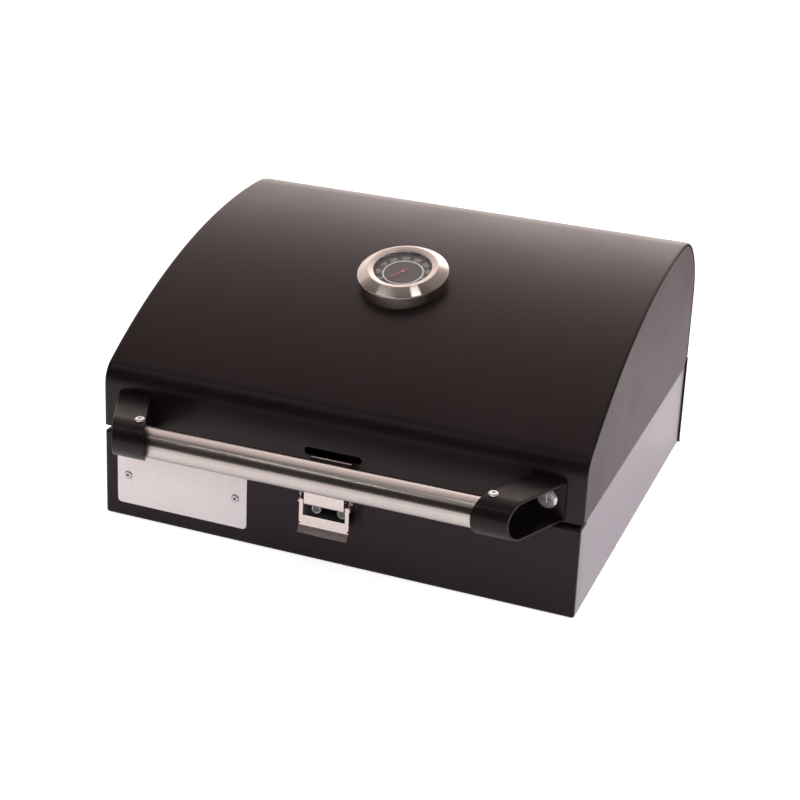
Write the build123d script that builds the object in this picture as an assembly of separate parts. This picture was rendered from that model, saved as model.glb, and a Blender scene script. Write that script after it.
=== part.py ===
"""Table-top barbecue box: folded steel body, arched hinged lid, tube handle, lid
thermometer and a draw latch. Millimetres, +X right, +Y to the back, +Z up.
The origin is the centre of the overall footprint, on the surface that the box stands on.
"""
from build123d import *
import math
import os

os.makedirs("parts", exist_ok=True)

# Clearances
RUN = 0.08          # radial play of a pin in its bore
SEAT = 0.02         # between flat pieces laid against a curve
FIT = 0.05          # radial play of a fixed shank or tube in its hole
GAP = 0.3           # between pieces that move past each other

# Body
SHEET = 1.2
BODY_W = 406.0
BODY_D = 356.0
SIDE_H = 78.2
FRONT_BELOW_SIDE = 2.7
BACK_ABOVE_SIDE = 7.8
BACK_OVERHANG = 1.5
BACK_KICK_H = 5.0
BACK_KICK = 1.5
FRONT_FLANGE = 15.0
SIDE_FLANGE = 12.0
BEND_R = 2.5
PAN_RIM = 10.0
BURNER_R = 100.0
BURNER_RIM_H = 7.0

# Lid
LID_OVERHANG = 1.0
LID_SETBACK = 2.0
LID_TOP = 214.5
ARCH_R = 504.0
REAR_R = 70.0
LIP_R = 22.0
LIP_GAP = 3.1
FRONT_LIP_RETURN = 8.0
END_FLANGE = 10.0
END_INSET = 0.25
BACK_EDGE_GAP = 1.4
END_CORNER_CUT = 10.0

# Grates, ledges and diffuser
GRATE_BELOW_SIDE = 10.2
GRATE_H = 10.0
GRATE_END_GAP = 18.0
GRATE_SIDE_GAP = 1.5
GRATE_APART = 3.0
GRATE_FRAME = 9.0
BAR_W = 6.0
BAR_FOOT_W = 3.0
BAR_PITCH = 15.5
CROSS_H = 5.0
LEDGE_T = 1.5
LEDGE_W = 24.0
LEDGE_DROP = 8.0
DIFFUSER_FROM_SIDE = 53.0
DIFFUSER_FROM_FRONT = 58.0
DIFFUSER_EDGE_Z = 26.0
DIFFUSER_RISE = 16.0
DIFFUSER_T = 1.5
STAND_W = 22.0
STAND_FOOT = 14.0

# Hinges
HINGE_FROM_SIDE = 83.0
HINGE_W = 60.0
HINGE_MID_W = 20.0
HINGE_PIN_R = 1.5
KNUCKLE_R = 3.0
LEAF_T = 1.2
LEAF_H = 24.0
HINGE_RIVET_X = 20.0
HINGE_RIVET_DOWN = 14.0
PIN_END = 1.0

# Rivets and screws
RIVET_R = 1.6
RIVET_HEAD_R = 3.5
RIVET_HEAD_H = 1.3
RIVET_TAIL_R = 2.6
RIVET_TAIL_H = 1.6
RIVET_EYE_R = 1.1

# Handle
HANDLE_REACH = 61.0
TUBE_R = 12.5
TUBE_WALL = 1.2
TUBE_DROP = 1.0
TUBE_PLAY = 0.75
BRACKET_ABOVE_LIP = 1.4
BRACKET_T = 2.0
BRACKET_BASE_W = 28.7
BRACKET_FROM_SIDE = 13.3
BRACKET_SLANT = 27.4
BRACKET_EDGE_R = 0.7
TOP_SCREW_PAST_WEB = 3.2
TUBE_PAST_SCREW = 6.8
TOP_SCREW_R = 2.0
TOP_SCREW_HEAD_R = 4.2
TOP_SCREW_HEAD_H = 1.6
MOUNT_SCREW_R = 3.0
MOUNT_SCREW_HEAD_R = 7.8
MOUNT_SCREW_HEAD_H = 2.6
MOUNT_NUT_AF = 10.0
MOUNT_NUT_H = 5.0
CROSS_SLOT_W = 1.1
CROSS_SLOT_DEPTH = 1.0

# Label
LABEL_W = 118.0
LABEL_FROM_EDGES = 11.75
LABEL_T = 0.6
LABEL_CORNER = 3.5
LABEL_FROM_SIDE = 12.0
LABEL_UP = 1.25
LABEL_RIVET_IN = 10.0

# Latch
SLOT_PAST_HOOK = 7.5
SLOT_H = 6.6
SLOT_ABOVE_LIP = 14.6
LATCH_T = 1.2
EAR_GAP = 0.6
BASE_H = 28.0
BASE_BELOW_EDGE = 9.5
LATCH_SCREW_X = 11.0
LATCH_SCREW_UP = 8.5
LATCH_SCREW_R = 1.9
LATCH_SCREW_HEAD_R = 4.0
LATCH_SCREW_HEAD_H = 1.8
PIVOT_OUT = 7.0
PIVOT_UP = 23.0
PIVOT_R = 1.5
PIVOT_HEAD_R = 2.6
PIVOT_HEAD_T = 1.0
EAR_R = 3.0
LEVER_HALF_W = 21.2
LEVER_OUT = 13.0
LEVER_ARM_W = 3.2
LEVER_WINDOW_UP = 7.0
LEVER_CREASE_DOWN = 2.0
LEVER_LIP_DOWN = 7.0
LEVER_LIP_OUT = 4.0
LEVER_ARM_UP = 20.5
NOTCH = 1.2
HOOK_PIN_OUT = 11.4
HOOK_PIN_UP = 18.4
HOOK_PIN_R = 1.2
HOOK_SIDE_GAP = 1.0
HOOK_CURL_R = 2.5
HOOK_BEND_ABOVE_LIP = 0.4
HOOK_UNDER_SLOT_MID = 2.2
HOOK_TO_LID = 0.5

# Thermometer, measured from the lid's surface along its normal
THERMO_ANGLE = 16.4
BEZEL_R = 38.5
BEZEL_WALL_H = 10.0
BEZEL_TOP_H = 14.5
BEZEL_SLOPE_W = 9.0
BEZEL_BEVEL_W = 5.0
BEVEL_DROP = 1.6
BEZEL_T = 1.2
BEZEL_SKIRT = 2.0
GLASS_T = 1.5
GLASS_LAP = 2.5
DIAL_H = 7.4
DIAL_SIDE_GAP = 2.0
DIAL_T = 0.6
CASE_IN_BEZEL = 5.5
CASE_T = 1.0
NEEDLE_SHORT_OF_GLASS = 8.5
NEEDLE_TAIL = 6.0
NEEDLE_HUB_R = 2.4
NEEDLE_T = 0.5
NEEDLE_OVER_DIAL = 1.2
NEEDLE_REST_DEG = 239.0
SPINDLE_R = 0.8
STEM_R = 3.2
STEM_THREAD_R = 5.0
STEM_THREAD_L = 12.0
STEM_L = 48.0
THERMO_NUT_AF = 16.0
THERMO_NUT_H = 5.0
THERMO_WASHER_R = 10.5

# Derived sizes and places
FRONT_H = SIDE_H - FRONT_BELOW_SIDE
BACK_H = SIDE_H + BACK_ABOVE_SIDE
FRONT_LIP_Z = FRONT_H + LIP_GAP
END_PLATE_Z = SIDE_H + GAP
GRATE_TOP = SIDE_H - GRATE_BELOW_SIDE
GRATE_LOW = GRATE_TOP - GRATE_H
GRATE_L = BODY_D - 2 * GRATE_END_GAP
GRATE_W = (BODY_W - 2 * SIDE_FLANGE - GRATE_APART) / 2 - GRATE_SIDE_GAP
DIFFUSER_L = BODY_W - 2 * DIFFUSER_FROM_SIDE
DIFFUSER_D = BODY_D - 2 * DIFFUSER_FROM_FRONT
DIFFUSER_RIDGE_Z = DIFFUSER_EDGE_Z + DIFFUSER_RISE
HINGE_X = BODY_W / 2 - HINGE_FROM_SIDE
LABEL_H = FRONT_H - 2 * LABEL_FROM_EDGES
LABEL_X = LABEL_FROM_SIDE + LABEL_W / 2 - BODY_W / 2
LABEL_Z = FRONT_H / 2 + LABEL_UP
BASE_HALF_W = LEVER_HALF_W - LATCH_T - EAR_GAP
HOOK_HALF_W = LEVER_HALF_W - LEVER_ARM_W - HOOK_SIDE_GAP
SLOT_W = 2 * (HOOK_HALF_W + SLOT_PAST_HOOK)
SLOT_Z = FRONT_LIP_Z + SLOT_ABOVE_LIP
BASE_HIGH = FRONT_H - BASE_BELOW_EDGE
BASE_LOW = BASE_HIGH - BASE_H
LATCH_SCREW_Z = BASE_LOW + LATCH_SCREW_UP
PIVOT_Z = BASE_LOW + PIVOT_UP
HOOK_PIN_Z = BASE_LOW + HOOK_PIN_UP
LEVER_WINDOW_LOW = BASE_LOW + LEVER_WINDOW_UP
LEVER_CREASE_Z = BASE_LOW - LEVER_CREASE_DOWN
LEVER_LIP_Z = BASE_LOW - LEVER_LIP_DOWN
LEVER_ARM_TOP = BASE_LOW + LEVER_ARM_UP
HOOK_BEND_Z = FRONT_LIP_Z + HOOK_BEND_ABOVE_LIP
HOOK_TIP_Z = SLOT_Z - HOOK_UNDER_SLOT_MID
KNUCKLE_OUT = GAP + KNUCKLE_R
HANDLE_OUT = HANDLE_REACH - LID_SETBACK
FRONT_Y = HANDLE_OUT - (HANDLE_OUT + BODY_D + KNUCKLE_OUT + KNUCKLE_R) / 2
BACK_Y = FRONT_Y + BODY_D
LID_FRONT_Y = FRONT_Y + LID_SETBACK
LID_BACK_Y = BACK_Y
HALF_W = BODY_W / 2
LID_HALF_W = HALF_W + LID_OVERHANG
BACK_EDGE_Z = BACK_H + BACK_EDGE_GAP
HINGE_Y = BACK_Y + KNUCKLE_OUT
HINGE_Z = (BACK_H + BACK_EDGE_Z) / 2
ARCH_Y = LID_BACK_Y - REAR_R
ARCH_Z = LID_TOP - ARCH_R
BRACKET_R = TUBE_R + TUBE_PLAY + TUBE_DROP + BRACKET_T
BRACKET_MID_Z = FRONT_LIP_Z + BRACKET_ABOVE_LIP + BRACKET_R
BRACKET_TOP = BRACKET_MID_Z + BRACKET_R
BRACKET_BASE_X = BODY_W / 2 - BRACKET_FROM_SIDE
BRACKET_FRONT_Y = LID_FRONT_Y - HANDLE_REACH
TUBE_Y = BRACKET_FRONT_Y + BRACKET_R
TUBE_Z = BRACKET_MID_Z - TUBE_DROP
PAN_Z = SHEET
BEZEL_TOP_R = BEZEL_R - BEZEL_SLOPE_W
GLASS_OPEN_R = BEZEL_TOP_R - BEZEL_BEVEL_W
CASE_R = BEZEL_R - CASE_IN_BEZEL
DIAL_R = CASE_R - CASE_T - DIAL_SIDE_GAP
NEEDLE_TIP = GLASS_OPEN_R - NEEDLE_SHORT_OF_GLASS


def save(shape, node):
    """Write one sub-part, labelled with its node name."""
    shape.label = node
    export_step(shape, f"parts/{node}.step")


def block(low, high):
    """A box between two opposite corners."""
    size = [b - a for a, b in zip(low, high)]
    middle = [(a + b) / 2 for a, b in zip(low, high)]
    return Pos(*middle) * Box(*size)


def rod_x(x0, x1, y, z, r):
    """A round rod along X."""
    return Pos((x0 + x1) / 2, y, z) * Rot(0, 90, 0) * Cylinder(r, abs(x1 - x0))


def rod_y(y0, y1, x, z, r):
    """A round rod along Y."""
    return Pos(x, (y0 + y1) / 2, z) * Rot(90, 0, 0) * Cylinder(r, abs(y1 - y0))


def side_section(face_of_yz, x0, x1):
    """Extrude a section drawn in the Y-Z plane from x0 to x1."""
    return Pos(x0, 0, 0) * extrude(face_of_yz, amount=x1 - x0, dir=(1, 0, 0))


def yz_polygon(points):
    """A closed flat outline in the Y-Z plane."""
    corners = [Vector(0, y, z) for y, z in points]
    return make_face(Polyline(*corners, close=True))


def mirrored(shape):
    """The same shape on the other side of the middle plane."""
    return mirror(shape, about=Plane.YZ)


def blind_rivet(x, z, face_y, grip, out=-1):
    """A blind rivet along Y: domed head with an eye, shank and crushed tail.

    face_y is the sheet's outer face, and out is -1 where the head looks to the front.
    """
    inward = -out
    head = rod_y(face_y, face_y + out * RIVET_HEAD_H, x, z, RIVET_HEAD_R)
    rim = head.edges().filter_by(GeomType.CIRCLE).sort_by(Axis.Y)[0 if out < 0 else -1]
    head = fillet(rim, RIVET_HEAD_H * 0.75)
    shank = rod_y(face_y, face_y + inward * grip, x, z, RIVET_R)
    tail_y = face_y + inward * grip
    tail = rod_y(tail_y, tail_y + inward * RIVET_TAIL_H, x, z, RIVET_TAIL_R)
    eye = rod_y(face_y + out * RIVET_HEAD_H, tail_y, x, z, RIVET_EYE_R)
    return head + shank + tail - eye


def cross_slot(depth, reach):
    """The cutter for a cross recess, at the origin and sinking along -Z."""
    arm = Box(2 * reach, CROSS_SLOT_W, 2 * depth)
    return arm + Rot(0, 0, 90) * arm


def hex_prism(across_flats, height):
    """A hexagonal prism standing on the origin along +Z."""
    outline = RegularPolygon(across_flats / 2, 6, major_radius=False)
    return extrude(outline, amount=height)


# Body sheet metal

def make_front_panel():
    """A shallow tray: the face, with a flange turned back along all four edges."""
    outer = block((-HALF_W, FRONT_Y, 0), (HALF_W, FRONT_Y + FRONT_FLANGE, FRONT_H))
    face_edges = outer.edges().group_by(Axis.Y)[0]
    depth_edges = outer.edges().filter_by(Axis.Y)
    outer = fillet(list(face_edges) + list(depth_edges), BEND_R)
    inner = block(
        (-HALF_W + SHEET, FRONT_Y + SHEET, SHEET),
        (HALF_W - SHEET, FRONT_Y + 2 * FRONT_FLANGE, FRONT_H - SHEET),
    )
    face_edges = inner.edges().group_by(Axis.Y)[0]
    depth_edges = inner.edges().filter_by(Axis.Y)
    inner = fillet(list(face_edges) + list(depth_edges), BEND_R - SHEET)
    panel = outer - inner
    for x in label_rivet_xs():
        panel -= rod_y(FRONT_Y - 1, FRONT_Y + 2 * SHEET, x, LABEL_Z, RIVET_R + FIT)
    for x in (-LATCH_SCREW_X, LATCH_SCREW_X):
        panel -= rod_y(FRONT_Y - 1, FRONT_Y + 2 * SHEET, x, LATCH_SCREW_Z, LATCH_SCREW_R + FIT)
    return panel


def make_back_panel():
    """A flat plate, wider than the sides, whose lower edge kicks outwards."""
    inner_y = BACK_Y - SHEET
    outline = yz_polygon([
        (inner_y, BACK_H),
        (BACK_Y, BACK_H),
        (BACK_Y, BACK_KICK_H),
        (BACK_Y + BACK_KICK, 0),
        (inner_y + BACK_KICK, 0),
        (inner_y, BACK_KICK_H),
    ])
    half = HALF_W + BACK_OVERHANG
    panel = side_section(outline, -half, half)
    for x in hinge_rivet_xs():
        panel -= rod_y(BACK_Y - 2 * SHEET, BACK_Y + 1, x, HINGE_Z - HINGE_RIVET_DOWN, RIVET_R + FIT)
    return panel


def make_side_panel():
    """The right side: a plate with a flange turned inwards at its top and bottom."""
    y0 = FRONT_Y + FRONT_FLANGE
    y1 = BACK_Y - SHEET
    outer = block((HALF_W - SIDE_FLANGE, y0, 0), (HALF_W, y1, SIDE_H))
    outer = fillet(outer.edges().filter_by(Axis.Y).group_by(Axis.X)[-1], BEND_R)
    inner = block((0, y0 - 1, SHEET), (HALF_W - SHEET, y1 + 1, SIDE_H - SHEET))
    inner = fillet(inner.edges().filter_by(Axis.Y).group_by(Axis.X)[-1], BEND_R - SHEET)
    return outer - inner


def make_bottom_pan():
    """A floor plate with an upturned rim, and a burner opening with a raised lip."""
    x = HALF_W - SHEET - GAP
    y0 = FRONT_Y + SHEET + GAP
    y1 = BACK_Y - SHEET
    rim_top = PAN_Z + PAN_RIM
    rim_r = BEND_R - SHEET + 0.2
    outer = block((-x, y0, PAN_Z), (x, y1, rim_top))
    upright = outer.edges().filter_by(Axis.Z)
    outer = fillet(list(upright) + list(outer.edges().group_by(Axis.Z)[0]), rim_r + SHEET)
    inner = block((-x + SHEET, y0 + SHEET, PAN_Z + SHEET), (x - SHEET, y1 - SHEET, rim_top + 1))
    upright = inner.edges().filter_by(Axis.Z)
    inner = fillet(list(upright) + list(inner.edges().group_by(Axis.Z)[0]), rim_r)
    pan = outer - inner
    middle = (y0 + y1) / 2
    lip_h = SHEET + BURNER_RIM_H
    pan += Pos(0, middle, PAN_Z + lip_h / 2) * Cylinder(BURNER_R + SHEET, lip_h)
    pan -= Pos(0, middle, PAN_Z) * Cylinder(BURNER_R, 4 * lip_h)
    return pan


def make_ledge(front):
    """An angle strip welded inside the front or the back wall to carry the grates."""
    wall = FRONT_Y + SHEET if front else BACK_Y - SHEET
    toward = 1 if front else -1
    half = HALF_W - BEND_R - GAP
    y_edge = wall + toward * LEDGE_W
    leg_y = wall + toward * LEDGE_T
    top = GRATE_LOW
    shelf = block((-half, min(wall, y_edge), top - LEDGE_T), (half, max(wall, y_edge), top))
    leg = block((-half, min(wall, leg_y), top - LEDGE_DROP), (half, max(wall, leg_y), top))
    return shelf + leg


def make_grate():
    """The right grate: a cast frame, tapered bars from front to back, and cross ribs."""
    x0 = GRATE_APART / 2
    middle_y = (FRONT_Y + BACK_Y) / 2
    y0 = middle_y - GRATE_L / 2
    y1 = middle_y + GRATE_L / 2
    centre_x = x0 + GRATE_W / 2
    outer = block((x0, y0, GRATE_LOW), (x0 + GRATE_W, y1, GRATE_TOP))
    outer = fillet(outer.edges().filter_by(Axis.Z), GRATE_FRAME * 0.8)
    inner = block(
        (x0 + GRATE_FRAME, y0 + GRATE_FRAME, GRATE_LOW - 1),
        (x0 + GRATE_W - GRATE_FRAME, y1 - GRATE_FRAME, GRATE_TOP + 1),
    )
    grate = outer - inner
    bar_outline = make_face(Polyline(
        (-BAR_FOOT_W / 2, 0, GRATE_LOW),
        (BAR_FOOT_W / 2, 0, GRATE_LOW),
        (BAR_W / 2, 0, GRATE_TOP),
        (-BAR_W / 2, 0, GRATE_TOP),
        close=True,
    ))
    bar = extrude(bar_outline, amount=GRATE_L - GRATE_FRAME, dir=(0, 1, 0))
    clear = GRATE_W - 2 * GRATE_FRAME
    count = int(clear / BAR_PITCH)
    for i in range(count):
        x = centre_x + (i - (count - 1) / 2) * BAR_PITCH
        grate += Pos(x, y0 + GRATE_FRAME / 2, 0) * bar
    for share in (0.25, 0.5, 0.75):
        y = y0 + share * GRATE_L
        grate += block(
            (x0 + 1, y - BAR_W / 2, GRATE_LOW),
            (x0 + GRATE_W - 1, y + BAR_W / 2, GRATE_LOW + CROSS_H),
        )
    return grate


def make_diffuser():
    """A heat spreader folded to a shallow ridge, with turned-down front and back edges."""
    middle_y = (FRONT_Y + BACK_Y) / 2
    half = DIFFUSER_D / 2
    low = DIFFUSER_EDGE_Z
    high = DIFFUSER_RIDGE_Z
    t = DIFFUSER_T
    outline = yz_polygon([
        (middle_y - half, low),
        (middle_y - half, low + t + 4),
        (middle_y, high),
        (middle_y + half, low + t + 4),
        (middle_y + half, low),
        (middle_y + half - t, low),
        (middle_y + half - t, low + 4),
        (middle_y, high - t),
        (middle_y - half + t, low + 4),
        (middle_y - half + t, low),
    ])
    return side_section(outline, -DIFFUSER_L / 2, DIFFUSER_L / 2)


def make_diffuser_stands():
    """Four bent straps that carry the corners of the heat spreader on the bottom pan."""
    middle_y = (FRONT_Y + BACK_Y) / 2
    floor = PAN_Z + SHEET
    stands = []
    for sx in (-1, 1):
        for sy in (-1, 1):
            x = sx * (DIFFUSER_L / 2 - STAND_W)
            edge = middle_y + sy * DIFFUSER_D / 2
            foot = edge - sy * STAND_FOOT
            wall = edge - sy * DIFFUSER_T
            post = block(
                (x - STAND_W / 2, min(edge, wall), floor),
                (x + STAND_W / 2, max(edge, wall), DIFFUSER_EDGE_Z),
            )
            sole = block(
                (x - STAND_W / 2, min(edge, foot), floor),
                (x + STAND_W / 2, max(edge, foot), floor + DIFFUSER_T),
            )
            stands.append(post + sole)
    return Compound(children=stands)


# Label

def label_rivet_xs():
    """Where the label's rivets stand."""
    reach = LABEL_W / 2 - LABEL_RIVET_IN
    return (LABEL_X - reach, LABEL_X + reach)


def make_label():
    """A thin bare plate with rounded corners."""
    plate = block(
        (LABEL_X - LABEL_W / 2, FRONT_Y - LABEL_T, LABEL_Z - LABEL_H / 2),
        (LABEL_X + LABEL_W / 2, FRONT_Y, LABEL_Z + LABEL_H / 2),
    )
    plate = fillet(plate.edges().filter_by(Axis.Y), LABEL_CORNER)
    for x in label_rivet_xs():
        plate -= rod_y(FRONT_Y - 2 * LABEL_T, FRONT_Y + 1, x, LABEL_Z, RIVET_R + FIT)
    return plate


def make_label_rivets():
    """The two blind rivets of the label."""
    rivets = [
        blind_rivet(x, LABEL_Z, FRONT_Y - LABEL_T, LABEL_T + SHEET) for x in label_rivet_xs()
    ]
    return Compound(children=rivets)


# Hinges

def hinge_rivet_xs():
    """Where the hinge rivets stand, on both hinges."""
    return [s * HINGE_X + d for s in (-1, 1) for d in (-HINGE_RIVET_X, HINGE_RIVET_X)]


def make_hinge_leaf(x, for_lid):
    """One leaf of a butt hinge, with its knuckles round the pin."""
    up = 1 if for_lid else -1
    half = HINGE_W / 2
    mid = HINGE_MID_W / 2
    far_z = HINGE_Z + up * LEAF_H
    leaf_y = BACK_Y + LEAF_T
    clear_z = HINGE_Z + up * (KNUCKLE_R + GAP)
    leaf = block((x - half, BACK_Y, min(clear_z, far_z)), (x + half, leaf_y, max(clear_z, far_z)))
    if for_lid:
        spans = [(x - mid + GAP / 2, x + mid - GAP / 2)]
    else:
        spans = [(x - half, x - mid - GAP / 2), (x + mid + GAP / 2, x + half)]
    for x0, x1 in spans:
        web_end = clear_z + up
        web_low = (x0, HINGE_Y - KNUCKLE_R, min(HINGE_Z, web_end))
        web_high = (x1, leaf_y, max(HINGE_Z, web_end))
        leaf += block(web_low, web_high)
        leaf += rod_x(x0, x1, HINGE_Y, HINGE_Z, KNUCKLE_R)
    leaf -= rod_x(x - half - 1, x + half + 1, HINGE_Y, HINGE_Z, HINGE_PIN_R + RUN)
    rivet_z = HINGE_Z + up * HINGE_RIVET_DOWN
    for dx in (-HINGE_RIVET_X, HINGE_RIVET_X):
        leaf -= rod_y(BACK_Y - 1, leaf_y + 1, x + dx, rivet_z, RIVET_R + FIT)
    return leaf


def make_hinge_leaves(for_lid):
    """The same leaf on the left and the right hinge."""
    return Compound(children=[make_hinge_leaf(s * HINGE_X, for_lid) for s in (-1, 1)])


def make_hinge_pins():
    """Two headed pins, held by their two ends in the body leaves."""
    pins = []
    for s in (-1, 1):
        x0 = s * HINGE_X - HINGE_W / 2
        x1 = s * HINGE_X + HINGE_W / 2
        pin = rod_x(x0 - PIN_END, x1 + PIN_END, HINGE_Y, HINGE_Z, HINGE_PIN_R)
        pin += rod_x(x0 - PIN_END, x0, HINGE_Y, HINGE_Z, KNUCKLE_R - 0.6)
        pin += rod_x(x1, x1 + PIN_END, HINGE_Y, HINGE_Z, KNUCKLE_R - 0.6)
        pins.append(pin)
    return Compound(children=pins)


def make_hinge_rivets(for_lid):
    """Blind rivets through the leaves and the sheet behind them."""
    up = 1 if for_lid else -1
    z = HINGE_Z + up * HINGE_RIVET_DOWN
    face = BACK_Y + LEAF_T
    rivets = [blind_rivet(x, z, face, LEAF_T + SHEET, out=1) for x in hinge_rivet_xs()]
    return Compound(children=rivets)


# Lid

def lid_outline(inset):
    """The lid's side outline, set in from its outer skin, as a face in the Y-Z plane.

    Front lip, its bend, the long arch, the rounded rear corner and the back.
    """
    arch = ARCH_R - inset
    rear = REAR_R - inset
    lip = LIP_R - inset
    front = LID_FRONT_Y + inset
    back = LID_BACK_Y - inset
    low = 0.0
    # The bend touches the lip and the arch, so its centre lies at both distances.
    bend_y = LID_FRONT_Y + LIP_R
    reach = ARCH_R - LIP_R
    bend_z = ARCH_Z + math.sqrt(reach**2 - (bend_y - ARCH_Y) ** 2)
    slope = math.atan2(bend_z - ARCH_Z, bend_y - ARCH_Y)
    touch_y = ARCH_Y + arch * math.cos(slope)
    touch_z = ARCH_Z + arch * math.sin(slope)
    half_bend = (math.pi + slope) / 2
    bend_mid = Vector(0, bend_y + lip * math.cos(half_bend), bend_z + lip * math.sin(half_bend))
    half_arch = (slope + math.pi / 2) / 2
    arch_mid = Vector(0, ARCH_Y + arch * math.cos(half_arch), ARCH_Z + arch * math.sin(half_arch))
    rear_z = LID_TOP - REAR_R
    diagonal = rear * math.sqrt(0.5)
    rear_mid = Vector(0, ARCH_Y + diagonal, rear_z + diagonal)
    top = Vector(0, ARCH_Y, ARCH_Z + arch)
    edges = [
        Line(Vector(0, front, low), Vector(0, front, bend_z)),
        ThreePointArc(Vector(0, front, bend_z), bend_mid, Vector(0, touch_y, touch_z)),
        ThreePointArc(Vector(0, touch_y, touch_z), arch_mid, top),
        ThreePointArc(top, rear_mid, Vector(0, back, rear_z)),
        Line(Vector(0, back, rear_z), Vector(0, back, low)),
        Line(Vector(0, back, low), Vector(0, front, low)),
    ]
    return make_face(Wire(edges))


def thermo_plane(height):
    """A plane parallel to the lid where the thermometer sits, at a height above the skin."""
    angle = math.radians(THERMO_ANGLE)
    reach = ARCH_R + height
    origin = (0, ARCH_Y - reach * math.sin(angle), ARCH_Z + reach * math.cos(angle))
    return Plane(origin=origin, x_dir=(1, 0, 0), z_dir=(0, -math.sin(angle), math.cos(angle)))


def make_lid_skin():
    """One sheet over the front, the arch and the back, with a return along the front lip."""
    outer = side_section(lid_outline(0), -LID_HALF_W, LID_HALF_W)
    inner = side_section(lid_outline(SHEET), -LID_HALF_W - 1, LID_HALF_W + 1)
    skin = outer - inner
    middle_y = (FRONT_Y + BACK_Y) / 2
    wide = LID_HALF_W + 1
    skin -= block((-wide, LID_FRONT_Y - 1, -1), (wide, middle_y, FRONT_LIP_Z))
    skin -= block((-wide, middle_y, -1), (wide, LID_BACK_Y + 1, BACK_EDGE_Z))
    inside = LID_HALF_W - END_INSET - SHEET - GAP
    skin += block(
        (-inside, LID_FRONT_Y, FRONT_LIP_Z),
        (inside, LID_FRONT_Y + FRONT_LIP_RETURN, FRONT_LIP_Z + SHEET),
    )
    skin -= slot_cutter()
    skin -= thermo_plane(0) * Cylinder(STEM_THREAD_R + FIT, 8 * SHEET)
    for side in (-1, 1):
        skin -= rod_y(
            LID_FRONT_Y - 1, LID_FRONT_Y + 2 * SHEET,
            side * mount_screw_x(), BRACKET_MID_Z, MOUNT_SCREW_R + FIT,
        )
    rivet_z = HINGE_Z + HINGE_RIVET_DOWN
    for x in hinge_rivet_xs():
        skin -= rod_y(LID_BACK_Y - 2 * SHEET, LID_BACK_Y + 1, x, rivet_z, RIVET_R + FIT)
    return skin


def slot_cutter():
    """The round-ended slot in the front lip for the latch hook."""
    cutter = block(
        (-SLOT_W / 2, LID_FRONT_Y - 1, SLOT_Z - SLOT_H / 2),
        (SLOT_W / 2, LID_FRONT_Y + 2 * SHEET, SLOT_Z + SLOT_H / 2),
    )
    return fillet(cutter.edges().filter_by(Axis.Y), SLOT_H / 2 - 0.01)


def make_lid_end():
    """The right end plate: it fills the skin's side, with a flange turned inwards below."""
    x1 = LID_HALF_W - END_INSET
    x0 = x1 - SHEET
    plate = side_section(lid_outline(SHEET), x0, x1)
    plate -= block((x0 - 1, LID_FRONT_Y - 1, -1), (x1 + 1, LID_BACK_Y + 1, END_PLATE_Z))
    plate_back = LID_BACK_Y - SHEET
    rise = BACK_EDGE_Z - END_PLATE_Z
    corner = yz_polygon([
        (plate_back + 1, BACK_EDGE_Z),
        (plate_back, BACK_EDGE_Z),
        (plate_back - END_CORNER_CUT, BACK_EDGE_Z - rise),
        (plate_back - END_CORNER_CUT, BACK_EDGE_Z - rise - 1),
        (plate_back + 1, BACK_EDGE_Z - rise - 1),
    ])
    plate -= side_section(corner, x0 - 1, x1 + 1)
    flange = block(
        (x1 - END_FLANGE, LID_FRONT_Y + FRONT_LIP_RETURN + 2 * SHEET, END_PLATE_Z),
        (x0, plate_back - END_CORNER_CUT, END_PLATE_Z + SHEET),
    )
    return plate + flange


# Handle

def mount_screw_x():
    """The large screw stands in the middle of the bracket's base."""
    return BRACKET_BASE_X - BRACKET_BASE_W / 2


def slant_at(y):
    """How far the bracket has moved inwards at a given y."""
    return BRACKET_SLANT * (LID_FRONT_Y - y) / HANDLE_REACH


def bracket_plan(inner_in, outer_in):
    """The slanted outline of the right bracket, seen from above, as a tall cutter."""
    y0 = LID_FRONT_Y
    y1 = BRACKET_FRONT_Y - 1
    inner_x = BRACKET_BASE_X - BRACKET_BASE_W + inner_in
    outer_x = BRACKET_BASE_X - outer_in
    outline = Polyline(
        (inner_x, y0, 0),
        (outer_x, y0, 0),
        (outer_x - slant_at(y1), y1, 0),
        (inner_x - slant_at(y1), y1, 0),
        close=True,
    )
    return extrude(make_face(outline), amount=LID_TOP, dir=(0, 0, 1))


def d_section(inset):
    """The bracket's side outline: flat top and bottom with a half-round front."""
    r = BRACKET_R - inset
    top = BRACKET_MID_Z + r
    low = BRACKET_MID_Z - r
    back = LID_FRONT_Y - inset
    edges = [
        Line(Vector(0, back, top), Vector(0, TUBE_Y, top)),
        ThreePointArc(
            Vector(0, TUBE_Y, top), Vector(0, TUBE_Y - r, BRACKET_MID_Z), Vector(0, TUBE_Y, low)
        ),
        Line(Vector(0, TUBE_Y, low), Vector(0, back, low)),
        Line(Vector(0, back, low), Vector(0, back, top)),
    ]
    return make_face(Wire(edges))


def top_screw_x():
    """The small screw bites the tube's end, just outside the bracket's inner wall."""
    web_x = BRACKET_BASE_X - BRACKET_BASE_W - slant_at(TUBE_Y) + BRACKET_T
    return web_x + TOP_SCREW_PAST_WEB


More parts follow.
